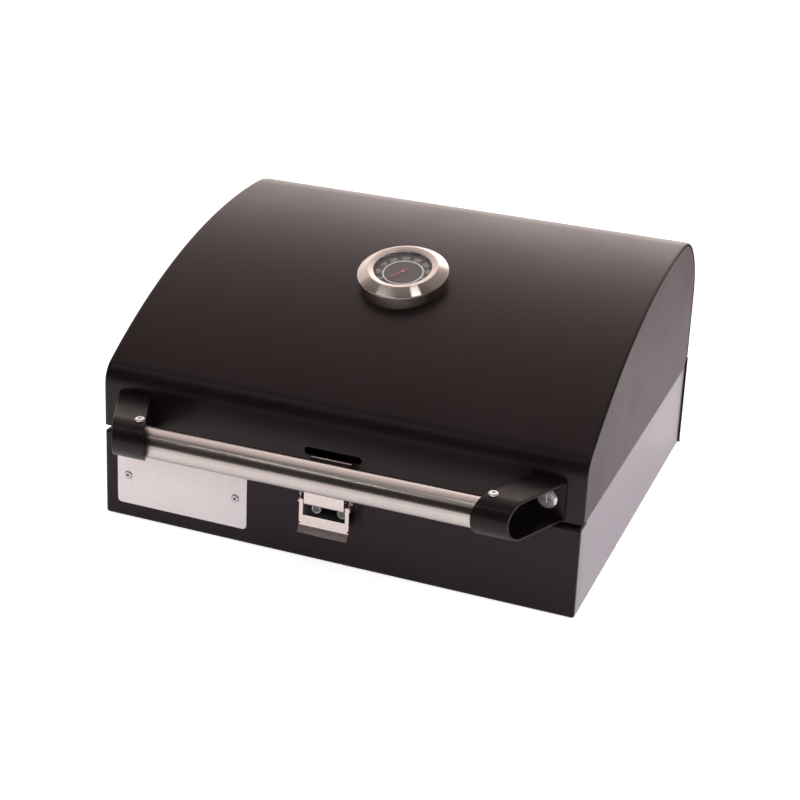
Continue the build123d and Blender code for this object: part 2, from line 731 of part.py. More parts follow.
def make_bracket():
    """The right bracket: a D-shaped cup, open outwards, that slants in towards the tube."""
    wide = 2 * BRACKET_BASE_X
    solid = side_section(d_section(0), 0, wide) & bracket_plan(0, 0)
    along_x = [e for e in solid.edges() if abs(e.tangent_at(0.5).X) > 0.9]
    at_lid = [e for e in solid.edges() if e.center().Y > LID_FRONT_Y - 0.1]
    rim = [e for e in solid.edges() if e not in along_x and e not in at_lid]
    solid = fillet(rim, BRACKET_EDGE_R)
    hollow = side_section(d_section(BRACKET_T), 0, wide) & bracket_plan(BRACKET_T, -1)
    bracket = solid - hollow
    bracket -= rod_x(0, BRACKET_BASE_X, TUBE_Y, TUBE_Z, TUBE_R + FIT)
    bracket -= rod_y(
        LID_FRONT_Y - 2 * BRACKET_T, LID_FRONT_Y + 1,
        mount_screw_x(), BRACKET_MID_Z, MOUNT_SCREW_R + FIT,
    )
    bracket -= Pos(top_screw_x(), TUBE_Y, BRACKET_TOP) * Cylinder(TOP_SCREW_R + FIT, 3 * BRACKET_T)
    return bracket


def make_tube():
    """The handle's steel tube, which ends inside both brackets."""
    end = top_screw_x() + TUBE_PAST_SCREW
    tube = rod_x(-end, end, TUBE_Y, TUBE_Z, TUBE_R)
    tube -= rod_x(-end - 1, end + 1, TUBE_Y, TUBE_Z, TUBE_R - TUBE_WALL)
    for side in (-1, 1):
        hole = Cylinder(TOP_SCREW_R + FIT, 6 * TUBE_WALL)
        tube -= Pos(side * top_screw_x(), TUBE_Y, TUBE_Z + TUBE_R) * hole
    return tube


def make_top_screws():
    """Pan-head screws down through the brackets into the tube."""
    length = BRACKET_TOP - (TUBE_Z + TUBE_R) + 2 * TUBE_WALL
    head = Pos(0, 0, TOP_SCREW_HEAD_H / 2) * Cylinder(TOP_SCREW_HEAD_R, TOP_SCREW_HEAD_H)
    head = fillet(head.edges().group_by(Axis.Z)[-1], TOP_SCREW_HEAD_H * 0.7)
    head -= Pos(0, 0, TOP_SCREW_HEAD_H) * cross_slot(CROSS_SLOT_DEPTH, TOP_SCREW_HEAD_R * 0.55)
    screw = head + Pos(0, 0, -length / 2) * Cylinder(TOP_SCREW_R, length)
    places = [Pos(s * top_screw_x(), TUBE_Y, BRACKET_TOP) for s in (-1, 1)]
    return Compound(children=[place * screw for place in places])


def make_mount_screws():
    """Washer-head screws through the bracket bases and the lid's front lip."""
    seat = LID_FRONT_Y - BRACKET_T
    length = BRACKET_T + SHEET + MOUNT_NUT_H + 2
    head = Pos(0, 0, MOUNT_SCREW_HEAD_H / 2) * Cylinder(MOUNT_SCREW_HEAD_R, MOUNT_SCREW_HEAD_H)
    head = chamfer(head.edges().group_by(Axis.Z)[-1], MOUNT_SCREW_HEAD_H * 0.6)
    head -= Pos(0, 0, MOUNT_SCREW_HEAD_H) * cross_slot(1.5 * CROSS_SLOT_DEPTH, MOUNT_SCREW_HEAD_R / 2)
    screw = head + Pos(0, 0, -length / 2) * Cylinder(MOUNT_SCREW_R, length)
    screws = [Pos(s * mount_screw_x(), seat, BRACKET_MID_Z) * Rot(90, 0, 0) * screw for s in (-1, 1)]
    return Compound(children=screws)


def make_mount_nuts():
    """Hexagon nuts of the bracket screws, inside the lid."""
    nut = hex_prism(MOUNT_NUT_AF, MOUNT_NUT_H)
    nut -= Cylinder(MOUNT_SCREW_R + FIT, 4 * MOUNT_NUT_H)
    seat = LID_FRONT_Y + SHEET
    nuts = [Pos(s * mount_screw_x(), seat, BRACKET_MID_Z) * Rot(-90, 0, 0) * nut for s in (-1, 1)]
    return Compound(children=nuts)


# Latch

def make_latch_base():
    """A screwed plate on the body's face, with two ears bent forwards round the pivot pin."""
    face = FRONT_Y
    plate = block((-BASE_HALF_W, face - LATCH_T, BASE_LOW), (BASE_HALF_W, face, BASE_HIGH))
    plate = fillet(plate.edges().filter_by(Axis.Y), 2.0)
    pivot_y = face - PIVOT_OUT
    for side in (-1, 1):
        x0 = side * BASE_HALF_W
        x1 = side * (BASE_HALF_W - LATCH_T)
        low_x = min(x0, x1)
        high_x = max(x0, x1)
        plate += block((low_x, pivot_y, PIVOT_Z - EAR_R), (high_x, face - LATCH_T / 2, PIVOT_Z + EAR_R))
        plate += rod_x(low_x, high_x, pivot_y, PIVOT_Z, EAR_R)
        plate -= rod_y(face - 3 * LATCH_T, face + 1, side * LATCH_SCREW_X, LATCH_SCREW_Z,
                       LATCH_SCREW_R + FIT)
    plate -= rod_x(-2 * BASE_HALF_W, 2 * BASE_HALF_W, pivot_y, PIVOT_Z, PIVOT_R + FIT)
    return plate


def make_latch_screws():
    """Cross-head screws of the latch base, through the body's front."""
    length = LATCH_T + SHEET + 4
    head = Pos(0, 0, LATCH_SCREW_HEAD_H / 2) * Cylinder(LATCH_SCREW_HEAD_R, LATCH_SCREW_HEAD_H)
    head = fillet(head.edges().group_by(Axis.Z)[-1], LATCH_SCREW_HEAD_H * 0.6)
    head -= Pos(0, 0, LATCH_SCREW_HEAD_H) * cross_slot(CROSS_SLOT_DEPTH, LATCH_SCREW_HEAD_R * 0.55)
    screw = head + Pos(0, 0, -length / 2) * Cylinder(LATCH_SCREW_R, length)
    seat = FRONT_Y - LATCH_T
    screws = [Pos(s * LATCH_SCREW_X, seat, LATCH_SCREW_Z) * Rot(90, 0, 0) * screw for s in (-1, 1)]
    return Compound(children=screws)


def headed_pin(half_span, y, z, r, head_r):
    """A pin along X with a flat head at both ends, outside half_span."""
    outside = half_span + PIVOT_HEAD_T
    pin = rod_x(-outside, outside, y, z, r)
    pin += rod_x(-outside, -half_span, y, z, head_r)
    pin += rod_x(half_span, outside, y, z, head_r)
    return pin


def make_pivot_pin():
    """The pin of the lever, held in the ears of the base."""
    return headed_pin(LEVER_HALF_W + GAP, FRONT_Y - PIVOT_OUT, PIVOT_Z, PIVOT_R, PIVOT_HEAD_R)


def make_latch_lever():
    """Two arms and a finger plate with a bent lip, and cheeks that reach back to the pivot."""
    out_y = FRONT_Y - LEVER_OUT
    in_y = out_y + LATCH_T
    half = LEVER_HALF_W
    plate = block((-half, out_y, LEVER_CREASE_Z), (half, in_y, LEVER_ARM_TOP))
    plate -= block(
        (-half + LEVER_ARM_W, out_y - 1, LEVER_WINDOW_LOW),
        (half - LEVER_ARM_W, in_y + 1, LEVER_ARM_TOP + 1),
    )
    lip = yz_polygon([
        (out_y, LEVER_CREASE_Z),
        (in_y, LEVER_CREASE_Z),
        (in_y - LEVER_LIP_OUT, LEVER_LIP_Z),
        (out_y - LEVER_LIP_OUT, LEVER_LIP_Z),
    ])
    lever = plate + side_section(lip, -half, half)
    pivot_y = FRONT_Y - PIVOT_OUT
    pin_y = FRONT_Y - HOOK_PIN_OUT
    cheek_outline = yz_polygon([
        (out_y, LEVER_ARM_TOP - 6),
        (out_y, LEVER_ARM_TOP),
        (pivot_y - EAR_R, PIVOT_Z + EAR_R - 0.5),
        (pivot_y, PIVOT_Z + EAR_R),
        (pivot_y + EAR_R, PIVOT_Z),
        (pivot_y, PIVOT_Z - EAR_R),
    ])
    for side in (-1, 1):
        x0 = min(side * half, side * (half - LATCH_T))
        x1 = max(side * half, side * (half - LATCH_T))
        lever += side_section(cheek_outline, x0, x1)
        lever += rod_x(x0, x1, pivot_y, PIVOT_Z, EAR_R)
        notch = block(
            (-NOTCH, out_y - 1, LEVER_CREASE_Z + NOTCH),
            (NOTCH, in_y + 1, LEVER_CREASE_Z + 2 * NOTCH),
        )
        lever -= Pos(side * half, 0, 0) * notch
    reach = 2 * half
    lever -= rod_x(-reach, reach, pivot_y, PIVOT_Z, PIVOT_R + RUN)
    lever -= rod_x(-reach, reach, pin_y, HOOK_PIN_Z, HOOK_PIN_R + FIT)
    return lever


def make_hook_pin():
    """The pin of the hook, held in the lever's cheeks."""
    return headed_pin(LEVER_HALF_W, FRONT_Y - HOOK_PIN_OUT, HOOK_PIN_Z, HOOK_PIN_R, HOOK_PIN_R + 0.6)


def make_latch_hook():
    """A plate curled round its pin, whose upper end leans in to the slot of the lid."""
    pin_y = FRONT_Y - HOOK_PIN_OUT
    out_y = pin_y - HOOK_CURL_R
    in_y = out_y + LATCH_T
    tip_y = LID_FRONT_Y - HOOK_TO_LID
    lean_y = tip_y - 2.5
    outline = yz_polygon([
        (out_y, HOOK_PIN_Z),
        (out_y, HOOK_BEND_Z),
        (lean_y, HOOK_TIP_Z),
        (tip_y, HOOK_TIP_Z),
        (tip_y, HOOK_TIP_Z - LATCH_T),
        (lean_y + LATCH_T / 2, HOOK_TIP_Z - LATCH_T),
        (in_y, HOOK_BEND_Z - LATCH_T / 2),
        (in_y, HOOK_PIN_Z),
    ])
    hook = side_section(outline, -HOOK_HALF_W, HOOK_HALF_W)
    hook += rod_x(-HOOK_HALF_W, HOOK_HALF_W, pin_y, HOOK_PIN_Z, HOOK_CURL_R)
    hook -= rod_x(-2 * HOOK_HALF_W, 2 * HOOK_HALF_W, pin_y, HOOK_PIN_Z, HOOK_PIN_R + RUN)
    return hook


# Thermometer

def turned(points):
    """Turn an outline of (radius, height) points about the thermometer's axis."""
    outline = make_face(Polyline(*[(r, 0, h) for r, h in points], close=True))
    return thermo_plane(0) * revolve(outline, Axis.Z)


def glass_top():
    """The glass lies under the bezel's bevel."""
    return BEZEL_TOP_H - BEVEL_DROP - BEZEL_T


def make_bezel():
    """Outer wall, sloping shoulder and a bevel that goes down to the glass."""
    t = BEZEL_T
    ring = turned([
        (BEZEL_R, -BEZEL_SKIRT),
        (BEZEL_R, BEZEL_WALL_H),
        (BEZEL_TOP_R, BEZEL_TOP_H),
        (GLASS_OPEN_R, BEZEL_TOP_H - BEVEL_DROP),
        (GLASS_OPEN_R, glass_top()),
        (BEZEL_TOP_R, glass_top()),
        (BEZEL_R - t, BEZEL_WALL_H - t),
        (BEZEL_R - t, -BEZEL_SKIRT),
    ])
    return ring - side_section(lid_outline(0), -2 * BEZEL_R, 2 * BEZEL_R)


def make_glass():
    """The round window, which lies on the case and under the bezel."""
    r = GLASS_OPEN_R + GLASS_LAP
    top = glass_top()
    return turned([(0, top - GLASS_T), (r, top - GLASS_T), (r, top), (0, top)])


def make_case():
    """The cup behind the dial, with a stepped rim that carries the glass."""
    rim = glass_top() - GLASS_T
    r = CASE_R
    t = CASE_T
    hole = SPINDLE_R + FIT
    return turned([
        (hole, 0.2),
        (r, 0.2),
        (r, rim),
        (GLASS_OPEN_R, rim),
        (GLASS_OPEN_R, rim - t),
        (r - t, rim - t),
        (r - t, DIAL_H - DIAL_T),
        (hole, DIAL_H - DIAL_T),
    ])


def make_dial():
    """The dial plate on top of the case's body."""
    hole = SPINDLE_R + FIT
    low = DIAL_H - DIAL_T
    return turned([(hole, low), (DIAL_R, low), (DIAL_R, DIAL_H), (hole, DIAL_H)])


def make_stem():
    """The threaded neck through the lid, the probe inside it and the needle's spindle."""
    neck_low = -STEM_THREAD_L
    spindle_top = DIAL_H + NEEDLE_OVER_DIAL + NEEDLE_T + 0.2
    return turned([
        (0, neck_low - STEM_L),
        (STEM_R, neck_low - STEM_L),
        (STEM_R, neck_low),
        (STEM_THREAD_R, neck_low),
        (STEM_THREAD_R, 0.2),
        (SPINDLE_R, 0.2),
        (SPINDLE_R, spindle_top),
        (0, spindle_top),
    ])


def inner_seat():
    """Height of the lid's inner face under the washer, below the curve of the sheet."""
    inner_r = ARCH_R - SHEET
    sag = inner_r - math.sqrt(inner_r**2 - THERMO_WASHER_R**2)
    return -SHEET - sag - SEAT


def make_thermo_washer():
    """The washer against the inside of the lid."""
    top = inner_seat()
    low = top - SHEET
    hole = STEM_THREAD_R + FIT
    return turned([(hole, low), (THERMO_WASHER_R, low), (THERMO_WASHER_R, top), (hole, top)])


def make_thermo_nut():
    """The hexagon nut that holds the thermometer."""
    top = inner_seat() - SHEET
    nut = Pos(0, 0, top - THERMO_NUT_H) * hex_prism(THERMO_NUT_AF, THERMO_NUT_H)
    nut -= Cylinder(STEM_THREAD_R + FIT, 6 * STEM_THREAD_L)
    return thermo_plane(0) * nut


def make_needle():
    """A thin pointer with a round hub and a short tail, at rest on the cold end."""
    low = DIAL_H + NEEDLE_OVER_DIAL
    outline = make_face(Polyline(
        (NEEDLE_TIP, 0.2, 0),
        (0, NEEDLE_HUB_R * 0.6, 0),
        (-NEEDLE_TAIL, 0.9, 0),
        (-NEEDLE_TAIL, -0.9, 0),
        (0, -NEEDLE_HUB_R * 0.6, 0),
        (NEEDLE_TIP, -0.2, 0),
        close=True,
    ))
    pointer = extrude(outline, amount=NEEDLE_T, dir=(0, 0, 1))
    pointer += Pos(0, 0, NEEDLE_T / 2) * Cylinder(NEEDLE_HUB_R, NEEDLE_T)
    pointer -= Cylinder(SPINDLE_R + RUN / 2, 6 * NEEDLE_T)
    return thermo_plane(0) * Pos(0, 0, low) * Rot(0, 0, NEEDLE_REST_DEG) * pointer


def main():
    """Build and write every sub-part."""
    side = make_side_panel()
    grate = make_grate()
    lid_end = make_lid_end()
    bracket = make_bracket()
    nodes = {
        "body_front_panel": make_front_panel(),
        "body_back_panel": make_back_panel(),
        "body_side_right": side,
        "body_side_left": mirrored(side),
        "bottom_pan": make_bottom_pan(),
        "grate_ledge_front": make_ledge(front=True),
        "grate_ledge_rear": make_ledge(front=False),
        "grate_right": grate,
        "grate_left": mirrored(grate),
        "heat_diffuser": make_diffuser(),
        "diffuser_stands": make_diffuser_stands(),
        "label_plate": make_label(),
        "label_rivets": make_label_rivets(),
        "hinge_body_leaves": make_hinge_leaves(for_lid=False),
        "hinge_lid_leaves": make_hinge_leaves(for_lid=True),
        "hinge_pins": make_hinge_pins(),
        "hinge_body_rivets": make_hinge_rivets(for_lid=False),
        "hinge_lid_rivets": make_hinge_rivets(for_lid=True),
        "lid_skin": make_lid_skin(),
        "lid_end_right": lid_end,
        "lid_end_left": mirrored(lid_end),
        "handle_tube": make_tube(),
        "handle_bracket_right": bracket,
        "handle_bracket_left": mirrored(bracket),
        "handle_top_screws": make_top_screws(),
        "bracket_screws": make_mount_screws(),
        "bracket_nuts": make_mount_nuts(),
        "latch_base": make_latch_base(),
        "latch_screws": make_latch_screws(),
        "latch_pivot_pin": make_pivot_pin(),
        "latch_lever": make_latch_lever(),
        "latch_hook_pin": make_hook_pin(),
        "latch_hook": make_latch_hook(),
        "thermometer_bezel": make_bezel(),
        "thermometer_glass": make_glass(),
        "thermometer_case": make_case(),
        "thermometer_dial": make_dial(),
        "thermometer_stem": make_stem(),
        "thermometer_washer": make_thermo_washer(),
        "thermometer_nut": make_thermo_nut(),
        "thermometer_needle": make_needle(),
    }
    for node, shape in nodes.items():
        save(shape, node)


main()
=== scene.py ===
import math

import bpy
from mathutils import Matrix, Vector


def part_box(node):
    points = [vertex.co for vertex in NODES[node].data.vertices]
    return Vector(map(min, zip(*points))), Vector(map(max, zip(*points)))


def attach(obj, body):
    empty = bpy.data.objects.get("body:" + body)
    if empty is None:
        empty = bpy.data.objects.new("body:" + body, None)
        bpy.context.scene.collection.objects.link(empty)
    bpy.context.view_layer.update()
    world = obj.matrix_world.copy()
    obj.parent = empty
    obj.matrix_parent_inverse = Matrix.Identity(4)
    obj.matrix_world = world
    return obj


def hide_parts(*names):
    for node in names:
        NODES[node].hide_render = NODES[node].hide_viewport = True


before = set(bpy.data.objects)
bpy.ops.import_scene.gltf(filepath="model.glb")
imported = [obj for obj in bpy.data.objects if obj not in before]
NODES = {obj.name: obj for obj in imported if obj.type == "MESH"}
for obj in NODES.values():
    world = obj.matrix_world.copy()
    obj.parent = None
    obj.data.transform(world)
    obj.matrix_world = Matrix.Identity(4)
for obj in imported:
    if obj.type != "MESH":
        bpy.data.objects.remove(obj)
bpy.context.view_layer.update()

MM = 0.001


def node_box(node):
    """A CAD node's lowest and highest corners, in millimetres to the nearest hundredth."""
    return [[round(v / MM, 2) for v in corner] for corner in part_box(node)]


# Camera, found from the photograph's edges, in metres and pixels
CAM_PLACE = Vector((0.4780, -1.30135, 0.6857))
CAM_RIGHT = Vector((0.9288, 0.3686, 0.0392))
CAM_FORWARD = Vector((-0.3367, 0.8832, -0.3264))
CAM_FOCAL_PX = 1753.06
CAM_CENTRE_PX = (387.5, 262.1)
CAM_CLIP = (0.05, 50)
IMAGE_PX = 800
SENSOR = 36.0

# Room around the object: how bright it is at places from the front (0) to the back (1)
ROOM = ((0.0, 0.04), (0.16, 0.05), (0.26, 0.24), (0.46, 0.34), (0.55, 0.80), (0.66, 0.90), (0.74, 1.02),
        (0.86, 1.38), (0.93, 2.3), (1.0, 3.0))
ROOM_TOP = max(level for place, level in ROOM)
ROOM_TINT = (1.0, 0.88, 0.85, 1)

# Its darker sides: X of the direction, how bright they are, and where the left one ends towards the back
RIGHT_FADE = (0.12, 0.27)
RIGHT_LEVEL = 0.28
LEFT_FADE = (-0.75, -0.45)
LEFT_LEVEL = 0.55
LEFT_END = (0.5, 0.62)

# Floor, in metres, and the glow that makes it white to the camera
FLOOR_REACH = 6.0
FLOOR_DROP = 0.0002
FLOOR_COLOUR = (0.86, 0.86, 0.87, 1)
FLOOR_SEEN = 0.62
WHITE = (1, 1, 1, 1)

# Floor's glow in gloss, in metres: painted light that fades outwards, is weak at the object's foot as
# painted shadow, and is weak far in front
FLOOR_TINT = (1.0, 0.96, 0.985, 1)
FLOOR_NEAR = 0.48
FLOOR_FAR = 0.10
FLOOR_FADE = (0.28, 0.92)
FOOT_FADE = (-0.24, -0.165)
FOOT_LEVEL = 0.4
FOOT_END = -0.15
FRONT_FADE = (-0.50, -0.40)
FRONT_LEVEL = 0.1

# Lamps: name, place, aim, size in metres, power in watts, and whether gloss mirrors it
LAMP_AIM = (0, 0, 0.1)
STRIP_AIM = (-0.2, -0.29, 0.1)
LAMPS = (
    ("left", (-2.1, -0.8, 1.1), LAMP_AIM, (1.2, 1.2), 20, False),
    ("right", (2.1, -0.5, 1.2), LAMP_AIM, (1.2, 1.2), 22, False),
    ("overhead", (0.59, -0.61, 1.7), LAMP_AIM, (0.4, 0.4), 1.7, True),
    ("strip", (-0.72, -1.2, 1.69), STRIP_AIM, (1.3, 0.05), 1.6, True),
    ("fill", (0.5, -2.2, 1.0), LAMP_AIM, (1.6, 1.6), 22, False),
)

# Patterns of the materials: how fine the noise is, per metre
COAT_CLOUD = 14
COAT_GRAIN = 900
COAT_WAVE = 5
COAT_PEEL = 1300
STEEL_CLOUD = 40
IRON_CLOUD = 30
IRON_PITS = 450
PRINT_MOTTLE = 250
PRINT_GRAIN = 900
PRINT_TOOTH = 1500
GLASS_DUST = 600

# Patterns of the materials: the span that most of a noise fills, and the first one's share of a blend
NOISE_SPAN = (0.3, 0.7)
COAT_SHARE = 0.5
STEEL_SHARE = 0.7

# Shader values that several materials share
COAT_VARY = 0.04
LACQUER_ROUGH = 0.3
LACQUER_IOR = 1.62
LACQUER_TURN = (0.7, 0.95)
SHEEN_ROUGH = 0.4
PRINT_ROUGH_VARY = 0.05
PRINT_RELIEF = 0.00001
PRINT_IOR = 1.45
GRAIN_TURN = 0.25

# Lid sheet, in millimetres, from the box of its CAD node
LID_LOW, LID_HIGH = node_box("lid_skin")
LID_HALF_W = LID_HIGH[0]
LID_FRONT_Y = LID_LOW[1]
LID_BACK_Y = LID_HIGH[1]
FRONT_LIP_Z = LID_LOW[2]
BACK_EDGE_Z = 87.4
LIP_R = 22.0
REAR_R = 70.0
ARCH_R = 504.0
ARCH_Y = LID_BACK_Y - REAR_R
ARCH_Z = LID_HIGH[2] - ARCH_R
SHEET = 1.2
RETURN_SIDE = 2.5
LIP_RETURN = 8.0

# Eased edges of the lid sheet: its long sides, and its thin rims
EDGE_R = 1.05
EDGE_W = 3.2
RIM_R = 0.12
RIM_LEAST = 0.03

# Points along the lid sheet's rounds
EDGE_STEPS = 8
RIM_STEPS = 3
LIP_STEPS = 20
ARCH_STEPS = 60
REAR_STEPS = 30
SLOT_STEPS = 12

# Latch slot in the lid's front, in millimetres
SLOT_HALF_W = 24.5
SLOT_H = 6.6
SLOT_Z = 93.2

# Strip of painted shade along the seam on each end plate of the lid, in millimetres
END_X = node_box("lid_end_right")[1][0]
SEAM_SUNK = 0.15
SEAM_PROUD = 0.18
SEAM_W = 1.9
SEAM_SLANT = 0.1
SEAM_LIFT = 1.0

# Thermometer bezel, in millimetres, square on the lid's arch
THERMO_ANGLE = math.radians(16.4)
BEZEL_R = 38.5
BEZEL_FOOT_H = -0.5
BEZEL_WALL_H = 9.0
BEZEL_TOP_R = 29.5
BEZEL_TOP_H = 14.5
BEVEL_R = 24.5
BEVEL_H = 12.9
GLASS_TOP_H = 11.7
BEZEL_T = 1.2
BEZEL_WALL_ROUND = 1.4
BEZEL_TOP_ROUND = 1.8
BEVEL_ROUND = 0.5

# Thermometer dial, in millimetres and degrees: ticks by length and width, numbers by type width and height
DIAL_H = 7.4
DISC_HOLE_R = 1.2
DISC_RISE = 0.04
DISC_GAP = 0.2
RING_R = 16.6
RING_W = 0.76
RING_RISE = 0.07
MARK_RISE = 0.06
TICK_GAP = 0.3
LONG_TICK = (1.9, 0.6)
SHORT_TICK = (1.1, 0.4)
FIRST_DEG = 219.0
LAST_DEG = -39.0
NUMBERS = 10
NUMBER_FIRST = 50
NUMBER_STEP = 50
NUMBER_R = 21.0
NUMBER_SIZE = (4.6, 5.4)
TICKS_PER_NUMBER = 5
TICKS = (NUMBERS - 1) * TICKS_PER_NUMBER

# Handle tube, in millimetres, from the box of its CAD node
TUBE_LOW, TUBE_HIGH = node_box("handle_tube")
TUBE_HALF = TUBE_HIGH[0]
TUBE_Y = (TUBE_LOW[1] + TUBE_HIGH[1]) / 2
TUBE_Z = (TUBE_LOW[2] + TUBE_HIGH[2]) / 2
TUBE_R = (TUBE_HIGH[2] - TUBE_LOW[2]) / 2
TUBE_WALL = 1.2
TUBE_ROUND = 0.3

# Latch hook: heights between which shade is painted on it, behind the tube, and how softly that ends, in
# millimetres
HOOK_SHADE_Z = (79.5, 90.3)
HOOK_LOW_FADE = 1.0
HOOK_HIGH_FADE = 0.2
HOOK_SHADE_COLOUR = (0.03, 0.022, 0.02, 1)

# Meshes: points round a lathed piece, angle of a crisp edge, and the most of a side that a round takes
LATHE_STEPS = 96
BEZEL_STEPS = 160
CRISP_DEG = 35
ROUND_SHARE = 0.45

# Edge rounds on CAD nodes
WELD_GAP = 0.000005
ROUND_DEG = 40
ROUND_SEGMENTS = 2
FLAT_WEIGHT = 100

# Sockets of the colour mix node, whose names aren't unique
MIX_FACTOR = 0
MIX_FIRST = 6
MIX_SECOND = 7
MIX_RESULT = 2


# Node helpers

def feed(tree, source, socket):
    """Give an input a plain value or another node's output."""
    if isinstance(source, bpy.types.NodeSocket):
        tree.links.new(source, socket)
    else:
        socket.default_value = source


def map_range(tree, value, low, high, to_low=0.0, to_high=1.0, smooth=True):
    """A value carried from one range to another, held at both ends."""
    node = tree.nodes.new("ShaderNodeMapRange")
    node.interpolation_type = "SMOOTHSTEP" if smooth else "LINEAR"
    node.clamp = True
    for name, number in zip(("From Min", "From Max", "To Min", "To Max"), (low, high, to_low, to_high)):
        node.inputs[name].default_value = number
    feed(tree, value, node.inputs["Value"])
    return node.outputs["Result"]


def maths(tree, operation, first, second):
    """A sum, product or the like of two outputs or numbers."""
    node = tree.nodes.new("ShaderNodeMath")
    node.operation = operation
    feed(tree, first, node.inputs[0])
    feed(tree, second, node.inputs[1])
    return node.outputs[0]


def mix_colours(tree, factor, first, second, mode="MIX"):
    """Two colours mixed, or multiplied, by a factor."""
    node = tree.nodes.new("ShaderNodeMix")
    node.data_type = "RGBA"
    node.blend_type = mode
    feed(tree, factor, node.inputs[MIX_FACTOR])
    feed(tree, first, node.inputs[MIX_FIRST])
    feed(tree, second, node.inputs[MIX_SECOND])
    return node.outputs[MIX_RESULT]


def ramp(tree, factor, stops):
    """A colour ramp of (place, colour) stops."""
    node = tree.nodes.new("ShaderNodeValToRGB")
    elements = node.color_ramp.elements
    while len(elements) < len(stops):
        elements.new(0.5)
    for element, (place, colour) in zip(elements, stops):
        element.position = place
        element.color = (*colour, 1)
    feed(tree, factor, node.inputs["Fac"])
    return node.outputs["Color"]


def coordinates(tree, kind="Object"):
    """Where a point is, as the object's own metres or another kind of coordinates."""
    return tree.nodes.new("ShaderNodeTexCoord").outputs[kind]


def axes(tree, vector):
    """The X, Y and Z of a vector output."""
    node = tree.nodes.new("ShaderNodeSeparateXYZ")
    feed(tree, vector, node.inputs[0])
    return node.outputs


def noise(tree, scale, detail, stretch=(1, 1, 1), vector=None):
    """A noise pattern, in the object's own metres unless another vector is given."""
    if vector is None:
        vector = coordinates(tree)
    mapping = tree.nodes.new("ShaderNodeMapping")
    mapping.inputs["Scale"].default_value = stretch
    feed(tree, vector, mapping.inputs["Vector"])
    node = tree.nodes.new("ShaderNodeTexNoise")
    node.inputs["Scale"].default_value = scale
    node.inputs["Detail"].default_value = detail
    feed(tree, mapping.outputs[0], node.inputs["Vector"])
    return node.outputs["Fac"]


def blend(tree, first, second, share):
    """Two patterns added, with the first one's share of the whole."""
    rest = maths(tree, "MULTIPLY", second, 1 - share)
    return maths(tree, "ADD", maths(tree, "MULTIPLY", first, share), rest)


def bump(tree, height, distance, under=None):
    """A bump of a height in metres, on top of another one if that is given."""
    node = tree.nodes.new("ShaderNodeBump")
    node.inputs["Strength"].default_value = 1.0
    node.inputs["Distance"].default_value = distance
    feed(tree, height, node.inputs["Height"])
    if under is not None:
        feed(tree, under, node.inputs["Normal"])
    return node.outputs["Normal"]


def seen_directly(tree):
    """1 for rays that come from the camera or through glass, and 0 for the rest."""
    path = tree.nodes.new("ShaderNodeLightPath")
    return maths(tree, "MAXIMUM", path.outputs["Is Camera Ray"], path.outputs["Is Transmission Ray"])


# Camera, surroundings and lamps

def make_camera():
    """The photograph's camera, with the small shift of its framing."""
    forward = CAM_FORWARD.normalized()
    right = (CAM_RIGHT - CAM_RIGHT.dot(forward) * forward).normalized()
    up = right.cross(forward)
    data = bpy.data.cameras.new("camera")
    data.sensor_width = SENSOR
    data.lens = SENSOR * CAM_FOCAL_PX / IMAGE_PX
    data.shift_x = 0.5 - CAM_CENTRE_PX[0] / IMAGE_PX
    data.shift_y = CAM_CENTRE_PX[1] / IMAGE_PX - 0.5
    data.clip_start, data.clip_end = CAM_CLIP
    camera = bpy.data.objects.new("camera", data)
    turn = Matrix((right, up, -forward)).transposed().to_4x4()
    camera.matrix_world = Matrix.Translation(CAM_PLACE) @ turn
    bpy.context.scene.collection.objects.link(camera)
    bpy.context.scene.camera = camera


def background(tree, colour, strength):
    """A world background of a colour and a strength."""
    node = tree.nodes.new("ShaderNodeBackground")
    feed(tree, colour, node.inputs["Color"])
    feed(tree, strength, node.inputs["Strength"])
    return node.outputs[0]


def room_light(tree):
    """The room: dark in front, bright at the back, and darker on the right and the front left."""
    way = axes(tree, coordinates(tree, "Generated"))
    back = map_range(tree, way["Y"], -1, 1, smooth=False)
    right = map_range(tree, way["X"], *RIGHT_FADE, 1.0, RIGHT_LEVEL)
    left = map_range(tree, way["X"], *LEFT_FADE, LEFT_LEVEL, 1.0)
    left = maths(tree, "MAXIMUM", left, map_range(tree, back, *LEFT_END))
    sides = maths(tree, "MULTIPLY", right, left)
    shade = ramp(tree, back, [(place, (level / ROOM_TOP,) * 3) for place, level in ROOM])
    tinted = mix_colours(tree, 1.0, shade, ROOM_TINT, "MULTIPLY")
    return background(tree, tinted, maths(tree, "MULTIPLY", sides, ROOM_TOP))


def make_world():
    """White to the camera and through glass, and the room to everything else."""
    world = bpy.data.worlds.new("surround")
    bpy.context.scene.world = world
    world.use_nodes = True
    tree = world.node_tree
    tree.nodes.clear()
    mix = tree.nodes.new("ShaderNodeMixShader")
    out = tree.nodes.new("ShaderNodeOutputWorld")
    feed(tree, seen_directly(tree), mix.inputs["Fac"])
    feed(tree, room_light(tree), mix.inputs[1])
    feed(tree, background(tree, WHITE, 1.0), mix.inputs[2])
    feed(tree, mix.outputs[0], out.inputs["Surface"])


def floor_mirrored(tree):
    """How strongly the floor glows in gloss, by the place on it."""
    place = coordinates(tree)
    distance = tree.nodes.new("ShaderNodeVectorMath")
    distance.operation = "LENGTH"
    feed(tree, place, distance.inputs[0])
    pool = map_range(tree, distance.outputs["Value"], *FLOOR_FADE, FLOOR_NEAR, FLOOR_FAR)
    y = axes(tree, place)["Y"]
    # Painted shadow: the glow is weaker just in front of the object's foot
    foot = map_range(tree, y, *FOOT_FADE, 1.0, FOOT_LEVEL)
    foot = maths(tree, "MAXIMUM", foot, maths(tree, "GREATER_THAN", y, FOOT_END))
    front = map_range(tree, y, *FRONT_FADE, FRONT_LEVEL, 1.0)
    return maths(tree, "MULTIPLY", maths(tree, "MULTIPLY", pool, foot), front)


